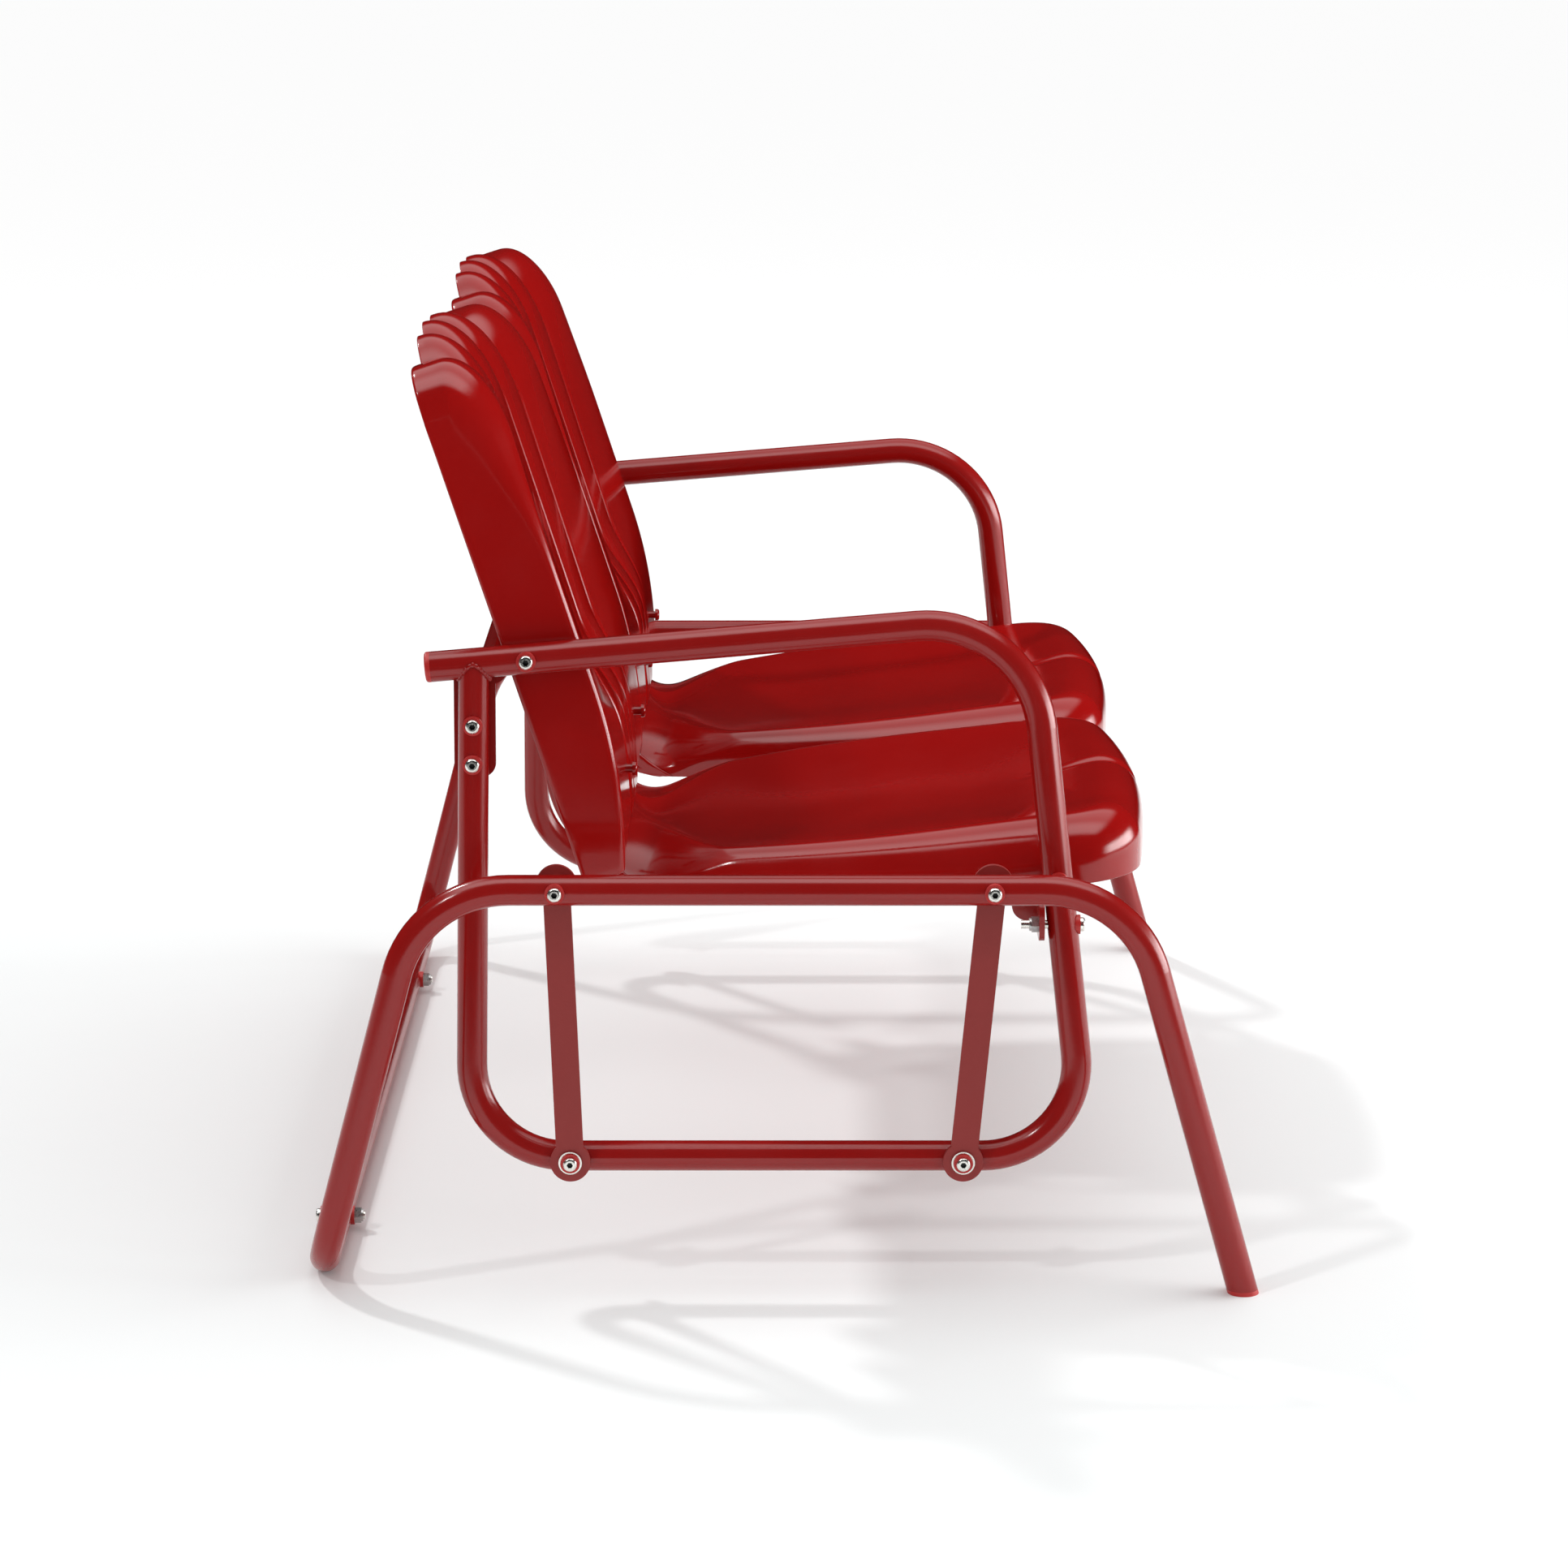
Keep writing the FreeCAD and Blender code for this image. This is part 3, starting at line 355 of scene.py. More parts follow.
finishes = {
    "panels": enamel("glossy_red_panel", (0.290, 0.0034, 0.0030, 1), (0.318, 0.0042, 0.0036, 1),
                     rough=0.11, spread=0.05, peel=0.04),
    "tubes": enamel("satin_red_tube", (0.255, 0.0040, 0.0034, 1), (0.280, 0.0050, 0.0042, 1),
                    rough=0.17, spread=0.06, peel=0.05),
    "hangers": enamel("flat_red_link", (0.245, 0.0125, 0.0105, 1), (0.272, 0.0155, 0.0130, 1),
                      rough=0.44, spread=0.10, peel=0.16),
    "bolts": plain_metal("bright_bolt", (0.78, 0.77, 0.72, 1), (0.92, 0.91, 0.86, 1),
                         rough=0.22, spread=0.10, scratch=0.10),
    "nuts": plain_metal("zinc_nut", (0.42, 0.42, 0.42, 1), (0.66, 0.66, 0.64, 1),
                        rough=0.26, spread=0.16, scratch=0.25),
    "plastic": moulded("red_plastic", (0.42, 0.010, 0.009, 1), (0.47, 0.014, 0.012, 1), rough=0.30),
    # The sockets' finish is painted shade: a near black for the shade inside the bolt heads' hex sockets
    "sockets": plain_metal("painted_socket_shade", (0.035, 0.035, 0.035, 1), (0.06, 0.06, 0.058, 1),
                           rough=0.45, spread=0.15, scratch=0.20),
    "nylon": moulded("pale_nylon", (0.62, 0.61, 0.57, 1), (0.70, 0.69, 0.66, 1), rough=0.38),
}


# Sheet metal pieces

def smooth(low, high, value):
    """0 at low and before it, 1 at high and past it, with a smooth step between; low may be the greater."""
    share = min(1.0, max(0.0, (value - low) / (high - low)))
    return share * share * (3 - 2 * share)


def blend(first, second, share):
    return first + (second - first) * share


def add_piece(mesh, name, material):
    """Makes an object at the origin from a finished mesh."""
    data = bpy.data.meshes.new(name)
    mesh.to_mesh(data)
    mesh.free()
    data.materials.append(material)
    piece = bpy.data.objects.new(name, data)
    bpy.context.scene.collection.objects.link(piece)
    return piece


def pressed_sheet(columns, rows, shape):
    """A grid whose points are moved by shape(column, row), where both run from 0 to 1."""
    mesh = bmesh.new()
    bmesh.ops.create_grid(mesh, x_segments=columns, y_segments=rows, size=0.5)
    for vert in mesh.verts:
        vert.co = shape(vert.co.x + 0.5, vert.co.y + 0.5)
    return mesh


def finish_sheet(mesh, side, name, node, outward):
    """Turns a sheet's faces outward, moves it to its side and gives it its wall, in place of a node."""
    bmesh.ops.remove_doubles(mesh, verts=mesh.verts, dist=merge_distance)
    bmesh.ops.recalc_face_normals(mesh, faces=mesh.faces)
    main = max(mesh.faces, key=lambda face: abs(face.normal.dot(outward)) * face.calc_area())
    if main.normal.dot(outward) < 0:
        bmesh.ops.reverse_faces(mesh, faces=mesh.faces)
    bmesh.ops.translate(mesh, verts=mesh.verts, vec=Vector((side * panel_offset, 0, 0)))
    bmesh.ops.remove_doubles(mesh, verts=mesh.verts, dist=merge_distance)
    bmesh.ops.dissolve_degenerate(mesh, edges=mesh.edges, dist=merge_distance)
    piece = add_piece(mesh, name, finishes["panels"])
    piece.data.shade_smooth()
    wall = piece.modifiers.new("wall", "SOLIDIFY")
    wall.thickness = sheet_wall
    wall.offset = -1
    round_off = piece.modifiers.new("round_off", "SUBSURF")
    round_off.levels = 1
    round_off.render_levels = 1
    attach(piece, "glider")
    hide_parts(node)


# Seat pan: along runs up its side outline, from 0 at the start of the rear curl

curl_y = wall_y - curl_radius
curl_start_y = curl_y - curl_radius * math.sin(seat_rake)
curl_start_z = seat_plane_z - (curl_start_y - seat_plane_y) * math.tan(seat_rake)
curl_z = curl_start_z + curl_radius * math.cos(seat_rake)
curl_turn = quarter_turn + seat_rake
curl_length = curl_radius * curl_turn
cap_start = curl_length + wall_top_z - cap_roll - curl_z
cap_turned = cap_start + cap_roll * quarter_turn
cap_rear_y = skirt_centre_y + skirt_radius
profile_end = cap_turned + cap_rear_y - wall_y - cap_roll


def along_at(y):
    """The place along the outline of a point on the seat's flat top."""
    return (y - curl_start_y) / math.cos(seat_rake)


def seat_profile(along):
    """The seat's top in side view: y, z and the way down to the skirt, as (y, z)."""
    if along <= 0:
        y = curl_start_y + along * math.cos(seat_rake)
        return y, curl_start_z - along * math.sin(seat_rake), (0.0, -1.0)
    turn = min(along / curl_radius, curl_turn)
    tilt = turn / curl_turn * quarter_turn
    down = (math.sin(tilt), -math.cos(tilt))
    angle = turn - seat_rake - quarter_turn
    y = curl_y + curl_radius * math.cos(angle)
    z = curl_z + curl_radius * math.sin(angle)
    if along <= curl_length:
        return y, z, down
    z += min(along, cap_start) - curl_length
    if along <= cap_start:
        return y, z, down
    turn = min((along - cap_start) / cap_roll, quarter_turn)
    y += cap_roll * (1 - math.cos(turn))
    z += cap_roll * math.sin(turn)
    y += max(0.0, along - cap_turned)
    return y, z, (math.cos(turn), -math.sin(turn))


def seat_side(y):
    """Half the seat's width at a place along Y."""
    ahead = y - taper_start_y
    if ahead <= 0:
        return seat_half
    reach = taper_bend * math.sin(seat_taper)
    if ahead <= reach:
        return seat_half - taper_bend + math.sqrt(taper_bend ** 2 - ahead ** 2)
    return seat_half - taper_bend * (1 - math.cos(seat_taper)) - (ahead - reach) * math.tan(seat_taper)


def skirt_foot(along, y):
    """The lower edge of the seat's skirt, as (y, z)."""
    if along <= 0:
        start_y = skirt_centre_y - skirt_radius * math.sin(skirt_rake)
        start_z = skirt_centre_z - skirt_radius * math.cos(skirt_rake)
        drop = rear_skirt_drop * smooth(rear_drop_start_y, rear_drop_full_y, y)
        return y, start_z + (start_y - y) * math.tan(skirt_rake) - drop
    straight = skirt_foot(0, curl_start_y)
    share = along / profile_end
    angle = blend(-quarter_turn - skirt_rake, 0, share ** skirt_turn_curve)
    y = skirt_centre_y + skirt_radius * math.cos(angle)
    z = skirt_centre_z + skirt_radius * math.sin(angle)
    near = smooth(skirt_turn_start, skirt_turn_full, share)
    return blend(straight[0], y, near), blend(straight[1], z, near)


def rim_roll(along):
    """The radius of the rolled rim."""
    if along > 0:
        return blend(rim_roll_rear, rim_roll_cap, smooth(0, cap_start, along))
    return blend(rim_roll_rear, rim_roll_front, smooth(rim_rear_along, rim_front_along, along))


def rim_spread(along):
    """How far in from the edge the rim starts to fall, and how far it falls: broad over the rear corners."""
    roll = rim_roll(along)
    before_cap = 1 - smooth(cap_start - corner_end, cap_start, along)
    broad = smooth(corner_width_start, corner_width_full, along) * before_cap
    deep = smooth(corner_drop_start, curl_length * corner_drop_full, along) * before_cap
    return blend(roll, corner_width, broad), blend(roll, corner_drop, deep)


def dish(along, across):
    """How far the seat's hollow lies below its rim; across is 0 at the rim and 1 on the centre line."""
    y = seat_profile(along)[0]
    depth = blend(dish_at_nose, dish_depth, smooth(dish_nose_y, dish_full_y, y))
    faded = dish_fade * smooth(dish_fade_start, 0.0, along)
    depth *= 1 - faded - dish_curl_fade * smooth(0.0, curl_length, along)
    return depth * (1 - (1 - across) ** 2)


def crease_at(place, along, below):
    """The groove down the centre line and over the nose; below is 0 at the rim and 1 at the skirt's foot."""
    if along > 0:
        return Vector((0, 0, 0))
    depth = crease_depth * smooth(fan_y + crease_start, seat_nose_y + crease_full, place.y)
    depth *= 1 - smooth(crease_foot, 1.0, below)
    depth *= math.exp(-(place.x / crease_width) ** 2)
    lean = smooth(seat_nose_y + rim_roll(along), seat_nose_y, place.y)
    return Vector((0, -lean, 1 - lean * crease_lean)) * depth


def nose_boundary(share):
    """The seat's edge from the start of its front corner to the middle of its nose, and the way out."""
    offset = seat_half - nose_corner
    bow_y = seat_nose_y + nose_bow
    corner_y = bow_y - math.sqrt((nose_bow - nose_corner) ** 2 - offset ** 2)
    bow_turn = math.asin(offset / (nose_bow - nose_corner))
    corner_turn = quarter_turn - bow_turn
    corner_length = nose_corner * corner_turn
    bow_length = nose_bow * bow_turn
    travel = share * (corner_length + bow_length)
    if travel <= corner_length:
        angle = travel / nose_corner
        out = Vector((math.cos(angle), -math.sin(angle), 0))
        return Vector((offset, corner_y, 0)) + out * nose_corner, out
    angle = bow_turn - (travel - corner_length) / nose_bow
    out = Vector((math.sin(angle), -math.cos(angle), 0))
    return Vector((0, bow_y, 0)) + out * nose_bow, out


def seat_column(column):
    """A column's place along the seat's edge: (along, edge point, way out, its end on the centre line)."""
    step = round(column * (side_columns + nose_columns))
    if step <= side_columns:
        corner = nose_boundary(0)[0]
        along = blend(profile_end, along_at(corner.y), step / side_columns)
        y = seat_profile(along)[0]
        edge = Vector((seat_side(y), y, 0))
        return along, edge, Vector((1, 0, 0)), Vector((0, max(y, fan_y), 0))
    edge, out = nose_boundary((step - side_columns) / nose_columns)
    return along_at(edge.y), edge, out, Vector((0, fan_y, 0))


def seat_point(column, row):
    """One half of the seat: rows run from the skirt's lower edge over the rolled rim to the centre line."""
    along, edge, out, spine = seat_column(column)
    step = round(row * seat_rows)
    rim_z, down = seat_profile(along)[1:]
    spread, fall = rim_spread(along)
    if step <= skirt_rows:
        foot_y, foot_z = skirt_foot(along, edge.y)
        share = step / skirt_rows
        top_y = edge.y + down[0] * fall
        top_z = rim_z + down[1] * fall
        place = Vector((edge.x, blend(foot_y, top_y, share), blend(foot_z, top_z, share)))
        if along > 0:
            place.x = seat_side(place.y)
        return place - crease_at(place, along, 1 - share)
    if step <= skirt_rows + roll_rows:
        angle = (step - skirt_rows) / roll_rows * quarter_turn
        inset = spread * (1 - math.cos(angle))
        drop = fall * (1 - math.sin(angle))
        flat = edge - out * inset
        top_y, top_z = seat_profile(along if along > 0 else along_at(flat.y))[:2]
        place = Vector((flat.x, top_y + down[0] * drop, top_z + down[1] * drop))
        return place - crease_at(place, along, 0)
    across = (step - skirt_rows - roll_rows) / (seat_rows - skirt_rows - roll_rows)
    flat = (edge - out * spread).lerp(spine, across)
    flat_along = along if along > 0 else along_at(flat.y)
    top_y, top_z, down = seat_profile(flat_along)
    dish_along = along if along > 0 else blend(flat_along, along_at(spine.y), across)
    drop = dish(dish_along, across)
    place = Vector((flat.x, top_y + down[0] * drop, top_z + down[1] * drop))
    return place - crease_at(place, along, 0)


def make_seat(side, name):
    mesh = pressed_sheet(side_columns + nose_columns, seat_rows, seat_point)
    half = mesh.verts[:] + mesh.edges[:] + mesh.faces[:]
    bmesh.ops.mirror(mesh, geom=half, axis="X", merge_dist=merge_distance)
    finish_sheet(mesh, side, "seat_sheet_" + name, "seat_pan_" + name, Vector((0, 0, 1)))


# Back shell: height runs up its slope, and depth is ahead of its rear edge

def crease_offset(index, height):
    """The place along X of the crease before a flute, from the shell's centre line."""
    share = min(1.0, max(0.0, height / crown_height))
    pitch = blend(flute_foot_pitch, flute_top_pitch, share)
    if index == 0:
        return -back_half
    if index == flute_count:
        return back_half
    return (index - flute_count / 2) * pitch


def flute_height(index):
    return crown_height - crown_step * abs(index - (flute_count - 1) / 2) ** crown_curve


def crease_height(index):
    """The height of the top edge at the crease before a flute."""
    if index in (0, flute_count):
        return flute_height(0)
    return min(flute_height(index - 1), flute_height(index)) - flute_dome


def flute_place(across):
    """Splits a place across the front into a flute and a share of its width, crowded near its creases."""
    index = min(flute_count - 1, int(across * flute_count))
    even = across * flute_count - index
    return index, even - flute_crowding * math.sin(2 * math.pi * even) / (2 * math.pi)


def outer_flute(index, share):
    """An outer flute's inner crease, and a rise from 0 there to 1 at its fold, which it meets level."""
    if index == 0:
        return 1, math.sin((1 - share) * quarter_turn)
    return index, math.sin(share * quarter_turn)


def crest_height(across):
    """The height of the scalloped top edge."""
    index, share = flute_place(across)
    if index in (0, flute_count - 1):
        inner, outward = outer_flute(index, share)
        return blend(crease_height(inner), flute_height(index), outward)
    ends = blend(crease_height(index), crease_height(index + 1), share)
    middle = (crease_height(index) + crease_height(index + 1)) / 2
    return ends + (flute_height(index) - middle) * 4 * share * (1 - share)


def crease_hollow(index):
    """How far the crease before a flute lies behind the outer folds."""
    middle = flute_count / 2
    return back_hollow * (1 - ((index - middle) / middle) ** 2)


def front_depth(across, height):
    """The depth of the front without its bulges."""
    index, share = flute_place(across)
    hollow = blend(crease_hollow(index), crease_hollow(index + 1), share)
    if index in (0, flute_count - 1):
        inner, outward = outer_flute(index, share)
        hollow = crease_hollow(inner) * (1 - outward)
    depth = back_depth - hollow * smooth(hollow_start_height, hollow_full_height, height)
    below = max(0.0, back_bend_height - height)
    return depth - below * below / (2 * back_bend_height) * math.tan(recline)


def back_profile(across, step, foot):
    """A row's place on the side outline: depth, height and the way out, as (depth, height)."""
    top = crest_height(across)
    front = front_depth(across, top)
    radius = min(crown_radius, front - sheet_wall)
    if step <= front_rows:
        height = blend(foot, top - crown_drop, step / front_rows)
        return front_depth(across, height), height, (1.0, 0.0)
    if step <= front_rows + crown_rows:
        angle = (step - front_rows) / crown_rows * quarter_turn
        depth = front - radius * (1 - math.cos(angle))
        return depth, top - crown_drop * (1 - math.sin(angle)), (math.cos(angle), math.sin(angle))
    share = (step - front_rows - crown_rows) / top_rows
    return (front - radius) * (1 - share), top, (0.0, 1.0)


def to_frame(x, depth, height):
    """From the shell's own frame to the loveseat's."""
    y = back_rear_y - depth * math.cos(recline) + height * math.sin(recline)
    z = back_foot_z + depth * math.sin(recline) + height * math.cos(recline)
    return Vector((x, y, z))


def groove(index, left, right, x, height):
    """The narrow grooves along a flute's creases, and the one down the lower half of each outer flute."""
    lines = [(crease_offset(line, height), 1.0) for line in (index, index + 1) if 0 < line < flute_count]
    if index in (0, flute_count - 1):
        share = side_groove_share if index else 1 - side_groove_share
        part = side_groove_part * smooth(side_groove_top, side_groove_full, height)
        lines.append((blend(left, right, share), part))
    return max(groove_depth * part * max(0.0, 1 - abs(x - line) / groove_width) for line, part in lines)


def front_point(across, level, rounding):
    """A point of the fluted front."""
    edge_share = min(across, 1 - across) * flute_count
    foot = blend(-back_foot_drop, back_front_foot, smooth(0.0, back_foot_blend, edge_share))
    depth, height, out = back_profile(across, level, foot)
    index, share = flute_place(across)
    left = crease_offset(index, height)
    right = crease_offset(index + 1, height)
    if index == 0:
        left += rounding
    if index == flute_count - 1:
        right -= rounding
    x = blend(left, right, share)
    bulge = 0.0
    if 0 < index < flute_count - 1:
        swell = blend(flute_foot_bulge, flute_bulge, smooth(0, crown_height, height))
        bulge = swell * 4 * share * (1 - share)
    bulge -= groove(index, left, right, x, height)
    return to_frame(x, depth + out[0] * bulge, height + out[1] * bulge)


def back_point(column, row):
    """The shell: columns run from one flange's rear edge over the flutes to the other's."""
    step = round(column * back_columns)
    level = round(row * back_rows)
    side = -1 if step < back_columns / 2 else 1
    edge_step = min(step, back_columns - step)
    shoulder = smooth(front_rows * shoulder_start, front_rows + crown_rows * shoulder_full, level)
    rounding = blend(fold_radius, shoulder_radius, shoulder)
    if edge_step >= flange_columns + fold_columns:
        across = (step - flange_columns - fold_columns) / (flute_count * flute_columns)
        return front_point(across, level, rounding)
    depth, height, out = back_profile(0.0, level, -back_foot_drop)
    if edge_step >= flange_columns:
        angle = (flange_columns + fold_columns - edge_step) / fold_columns * quarter_turn
        x = back_half - rounding * (1 - math.sin(angle))
        sink = rounding * (1 - math.cos(angle))
        depth = max(0.0, depth - out[0] * sink)
        return to_frame(side * x, depth, height - out[1] * sink)
    share = (flange_columns - edge_step) / flange_columns
    corner = crease_height(0) - shoulder_radius
    rear_height = blend(-back_foot_drop, corner, level / back_rows)
    fold_depth = max(0.0, depth - out[0] * rounding)
    fold_height = height - out[1] * rounding
    return to_frame(side * back_half, blend(fold_depth, 0.0, share), blend(fold_height, rear_height, share))


def make_back(side, name):
    mesh = pressed_sheet(back_columns, back_rows, back_point)
    finish_sheet(mesh, side, "back_sheet_" + name, "back_shell_" + name, Vector((0, -1, 0)))


# Weld beads

def make_weld(side, name):
    """A ring spun round the post and laid in the saddle between two tubes, with a hand weld's ripples."""
    mesh = bmesh.new()
    made = bmesh.ops.create_circle(mesh, segments=weld_segments, radius=weld_size)
    bmesh.ops.rotate(mesh, matrix=Matrix.Rotation(quarter_turn, 3, "X"), verts=made["verts"])
    bmesh.ops.translate(mesh, vec=Vector((tube_radius, 0, 0)), verts=made["verts"])
    bmesh.ops.spin(mesh, geom=mesh.verts[:] + mesh.edges[:], axis=(0, 0, 1), cent=(0, 0, 0),
                   angle=math.radians(360), steps=weld_steps, use_merge=True)
    for vert in mesh.verts:
        angle = math.atan2(vert.co.y, vert.co.x)
        ripple = 1 + weld_ripple * math.cos(angle * weld_runs + math.sin(angle * weld_wander))
        ring = Vector((math.cos(angle), math.sin(angle), 0)) * tube_radius
        vert.co = ring + (vert.co - ring) * ripple
        vert.co.z -= tube_radius * abs(math.sin(angle)) ** saddle_curve
    bmesh.ops.recalc_face_normals(mesh, faces=mesh.faces)
    bmesh.ops.rotate(mesh, matrix=Matrix.Rotation(-side * arm_lean, 3, "Y"), verts=mesh.verts)
    place = Vector((side * weld_place.x, weld_place.y, weld_place.z))
    bmesh.ops.translate(mesh, vec=place, verts=mesh.verts)
    piece = add_piece(mesh, "arm_weld_" + name, finishes["tubes"])
    piece.data.shade_smooth()
    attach(piece, "glider")


sides = ((1, "left"), (-1, "right"))
for side, name in sides:
    make_seat(side, name)
    make_back(side, name)
for side, name in sides:
    make_weld(side, name)


# Finishes of the tubes, links, bolts and trim

def dress(ending, finish):
    """Gives a finish to each node whose name ends in a word; every name ends in the empty one."""
    for name, node in nodes.items():
        if name.endswith(ending):
            node.data.materials.clear()
            node.data.materials.append(finishes[finish])


# Each row goes over the rows before it
for ending, finish in (
    ("", "tubes"),
    ("rear_hanger_left", "hangers"),
    ("rear_hanger_right", "hangers"),
    ("front_hanger_left", "hangers"),
    ("front_hanger_right", "hangers"),
    ("_bolts", "bolts"),
    ("shell_bolts", "panels"),
    ("_rings", "bolts"),
    ("_nuts", "nuts"),
    ("_washers", "plastic"),
    ("_spacers", "plastic"),
    ("_plugs", "plastic"),
    ("_bushes", "nylon"),
):
    dress(ending, finish)


def islands(mesh):
    """The separate solids of a node, as lists of faces."""
    unseen = set(mesh.faces)
    while unseen:
        island = [unseen.pop()]
        for face in island:
            for edge in face.edges:
                for other in edge.link_faces:
                    if other in unseen:
                        unseen.remove(other)
                        island.append(other)
        yield island


def paint_socket_shade(name):
    """Paints shade into the sockets of a node's bolt heads, which point away from the middle: their inner
    faces get a near-black finish that stands in for the shade in the recess.
    """
    node = nodes[name]
    node.data.materials.append(finishes["sockets"])
    mesh = bmesh.new()
    mesh.from_mesh(node.data)
    bmesh.ops.remove_doubles(mesh, verts=mesh.verts, dist=socket_merge)
    for island in islands(mesh):
        corners = [vert.co for face in island for vert in face.verts]
        low = Vector([min(corner[axis] for corner in corners) for axis in range(3)])
        high = Vector([max(corner[axis] for corner in corners) for axis in range(3)])
        middle = (low + high) / 2
        head = high.x if middle.x > 0 else low.x
        for face in island:
            place = face.calc_center_median()
            off_axis = math.hypot(place.y - middle.y, place.z - middle.z)
            if off_axis < socket_reach and socket_lip < abs(place.x - head) < socket_depth:
                node.data.polygons[face.index].material_index = 1
    mesh.free()


for name in ("hanger_top_bolts", "hanger_bottom_bolts", "back_bolts", "front_rail_bolts", "rear_rail_bolts"):
    paint_socket_shade(name)


# Floor, and cards and a room that show only in reflections

def stage_sheet(name, low, high, material):
    """A flat stage piece between two corners, which share a height or a place along Y."""
    low = Vector(low)
    high = Vector(high)
    size = high - low
    mesh = bmesh.new()
    bmesh.ops.create_grid(mesh, x_segments=1, y_segments=1, size=0.5)
    if size.y == 0:
        bmesh.ops.rotate(mesh, matrix=Matrix.Rotation(quarter_turn, 3, "X"), verts=mesh.verts)
    bmesh.ops.scale(mesh, vec=size, verts=mesh.verts)
    bmesh.ops.translate(mesh, vec=(low + high) / 2, verts=mesh.verts)
    piece = add_piece(mesh, name, material)
    return piece


def place_on(wire):
    """The three object coordinates of a point, as wires."""
    place = wire.node("ShaderNodeTexCoord", {}, {}, "Object")
    return [wire.node("ShaderNodeSeparateXYZ", {}, {"Vector": place}, axis) for axis in "XYZ"]


def floor_finish():
    """A pale matt floor, paler far behind the loveseat."""
    material, shader, wire = start_finish("pale_floor")
    away = place_on(wire)[0].band(*floor_fade_x)
    near = grain(wire, scale=0.8).mix(floor_shade, floor_tint)
    connect(shader, Base_Color=away.mix(near, floor_far))
    shader.inputs["Roughness"].default_value = floor_rough
    shader.inputs["Specular IOR Level"].default_value = 0.0
    return material


def black_finish(name):
    """The start of a finish that reflects no light."""
    material, shader, wire = start_finish(name)
    shader.inputs["Base Color"].default_value = black
    shader.inputs["Specular IOR Level"].default_value = 0.0
    return material, shader, wire


def dark_finish(name, clear_x, dark_x):
    """A black card of painted shade that fades in from one place along X to another, so that its edge
    doesn't show.
    """
    material, shader, wire = black_finish(name)
    shader.inputs["Roughness"].default_value = 1.0
    connect(shader, Alpha=place_on(wire)[0].band(clear_x, dark_x))
    return material


def light_finish(name, strength, glow):
    """A shining card; glow makes its brightness from its object coordinates."""
    material, shader, wire = black_finish(name)
    shader.inputs["Emission Strength"].default_value = strength
    connect(shader, Emission_Color=glow(*place_on(wire)).mix(black, white))
    return material


def room_finish():
    """A dark wall with a faint even glow."""
    material, shader = black_finish("dark_wall")[:2]
    shader.inputs["Emission Color"].default_value = white
    shader.inputs["Emission Strength"].default_value = room_glow
    return material


def only_in_reflections(piece):
    piece.visible_camera = False
    piece.visible_diffuse = False
    piece.visible_shadow = False
    piece.visible_transmission = False


def overhead_glow(x, y, z):
    """Brightest over the near side, dimmer over the far side, with soft ends."""
    full, edge = overhead_fade_y
    ends = y.band(-edge, -full) * (1 - y.band(full, edge))
    strip = ends * x.band(*overhead_near_x) * (1 - x.band(*overhead_far_x))
    return strip * (1 - x.band(*overhead_dim_x) * overhead_dim)


def front_glow(x, y, z):
    """A low strip with soft ends."""
    strip = x.band(*front_near_x) * (1 - x.band(*front_far_x))
    return strip * z.band(*front_low_z) * (1 - z.band(*front_high_z))


def dark_room():
    """A dark dome round the stage."""
    mesh = bmesh.new()
    bmesh.ops.create_uvsphere(mesh, u_segments=48, v_segments=24, radius=room_radius)
    cut = mesh.verts[:] + mesh.edges[:] + mesh.faces[:]
    bmesh.ops.bisect_plane(mesh, geom=cut, plane_co=(0, 0, room_foot), plane_no=(0, 0, 1), clear_inner=True)
    piece = add_piece(mesh, "dark_room", room_finish())
    return piece


stage_sheet("floor", (-floor_reach, -floor_reach, 0), (floor_reach, floor_reach, 0), floor_finish())
# Painted shade: black cards that reflections show in place of the floor beyond the lit patch
near_card = stage_sheet("near_dark_card",
                        (-card_reach, -card_reach, card_lift), (near_card_edge, card_reach, card_lift),
                        dark_finish("near_dark", clear_x=-1.6, dark_x=-2.5))
far_card = stage_sheet("far_dark_card",
                       (far_card_edge, -card_reach, card_lift), (far_card_end, card_reach, card_lift),
                       dark_finish("far_dark", clear_x=1.7, dark_x=3.0))
overhead_card = stage_sheet("overhead_card", (-2.6, -4, overhead_height), (5.2, 4, overhead_height),
                            light_finish("overhead_light", strength=3.0, glow=overhead_glow))
front_card = stage_sheet("front_card", (-3.4, front_card_y, 0), (3.2, front_card_y, 3.2),
                         light_finish("front_light", strength=10.0, glow=front_glow))
for piece in (near_card, far_card, overhead_card, front_card, dark_room()):
    only_in_reflections(piece)


# Lamps

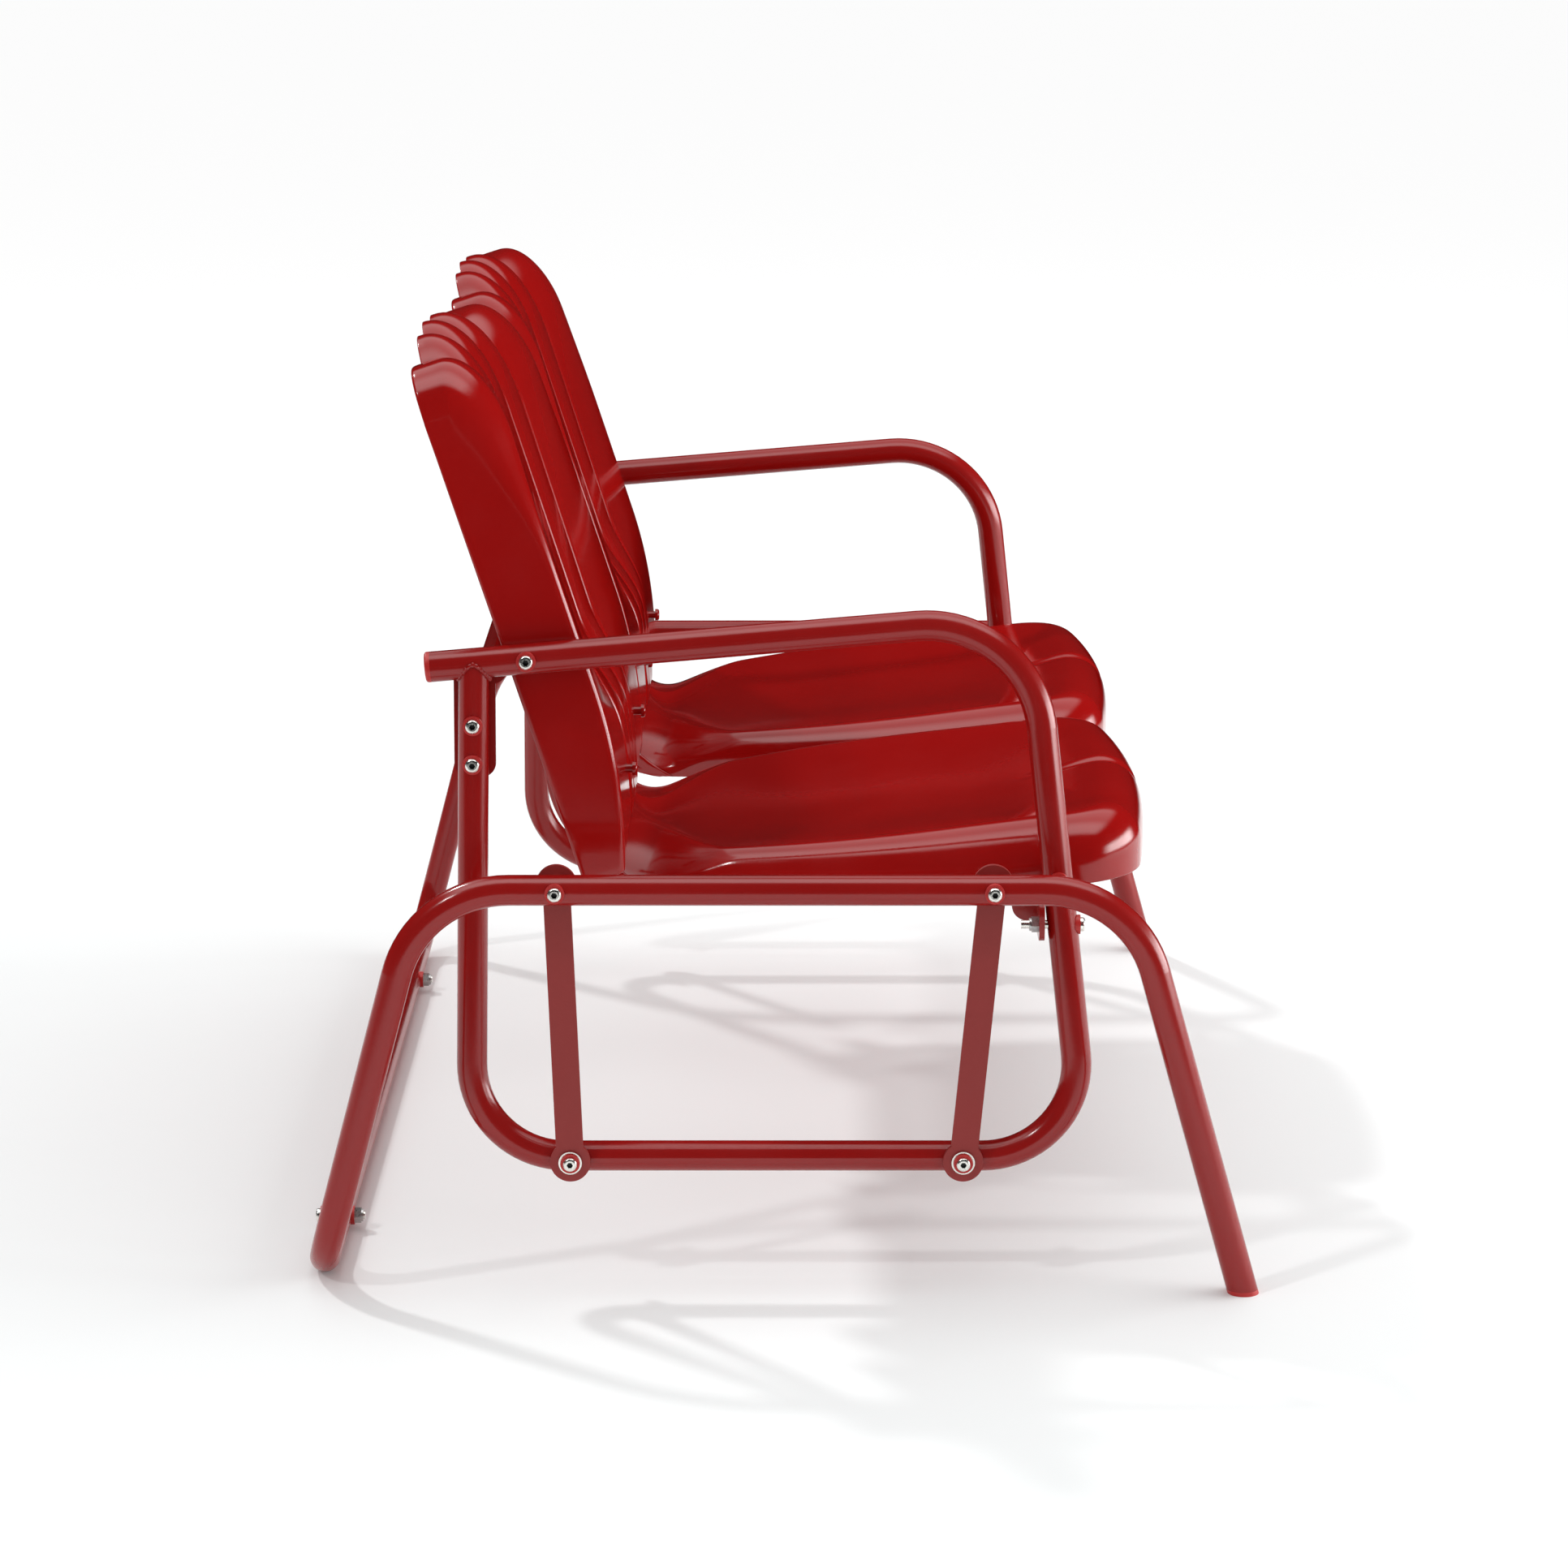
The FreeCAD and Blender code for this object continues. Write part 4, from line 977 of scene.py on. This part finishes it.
def add_lamp(name, data, place, target):
    """Puts a lamp at a place and turns it to a target."""
    lamp = bpy.data.objects.new(name, data)
    bpy.context.scene.collection.objects.link(lamp)
    turn = (Vector(target) - Vector(place)).to_track_quat("-Z", "Y")
    lamp.matrix_world = Matrix.Translation(place) @ turn.to_matrix().to_4x4()
    return lamp


def sun(name, place, strength):
    data = bpy.data.lights.new(name, "SUN")
    data.energy = strength
    data.angle = sun_spread
    add_lamp(name, data, place, sun_target)


def softbox(name, place, target, width, depth, power):
    """A broad lamp whose own shape doesn't show in reflections; the shining cards take that part."""
    data = bpy.data.lights.new(name, "AREA")
    data.shape = "RECTANGLE"
    data.size = width
    data.size_y = depth
    data.energy = power
    add_lamp(name, data, place, target).visible_glossy = False


sun("far_rear_light", (3.0, 2.6, 4.2), strength=0.95)
sun("near_rear_light", (-1.6, 2.6, 3.4), strength=0.48)
softbox("overhead_box", (0.6, -0.9, 4.0), (0, 0, 0.4), width=4.0, depth=4.0, power=45.0)
softbox("front_box", (0.0, -4.0, 1.6), (0, 0, 0.5), width=4.0, depth=2.0, power=108.0)


# Sky, which is white where it is seen and dimmer as a light

world = bpy.data.worlds.new("studio")
bpy.context.scene.world = world
world.use_nodes = True
sky = Wire(world.node_tree)
ray_kinds = ("Is Camera Ray", "Is Glossy Ray", "Is Transmission Ray")
camera_ray, glossy_ray, clear_ray = [sky.node("ShaderNodeLightPath", {}, {}, kind) for kind in ray_kinds]
seen = sky.maths("MAXIMUM", sky.maths("MAXIMUM", camera_ray, glossy_ray), clear_ray)
background = world.node_tree.nodes["Background"]
background.inputs["Color"].default_value = white
connect(background, Strength=seen * (1 - sky_light) + sky_light)


# Camera

camera_data = bpy.data.cameras.new("camera")
camera_data.sensor_width = camera_sensor
camera_data.lens = camera_lens
camera_data.clip_end = camera_reach
camera = bpy.data.objects.new("camera", camera_data)
bpy.context.scene.collection.objects.link(camera)
camera.location = camera_place
camera.rotation_euler = (quarter_turn - camera_pitch, 0, -quarter_turn)
bpy.context.scene.camera = camera
bpy.context.scene.view_settings.view_transform = "Standard"
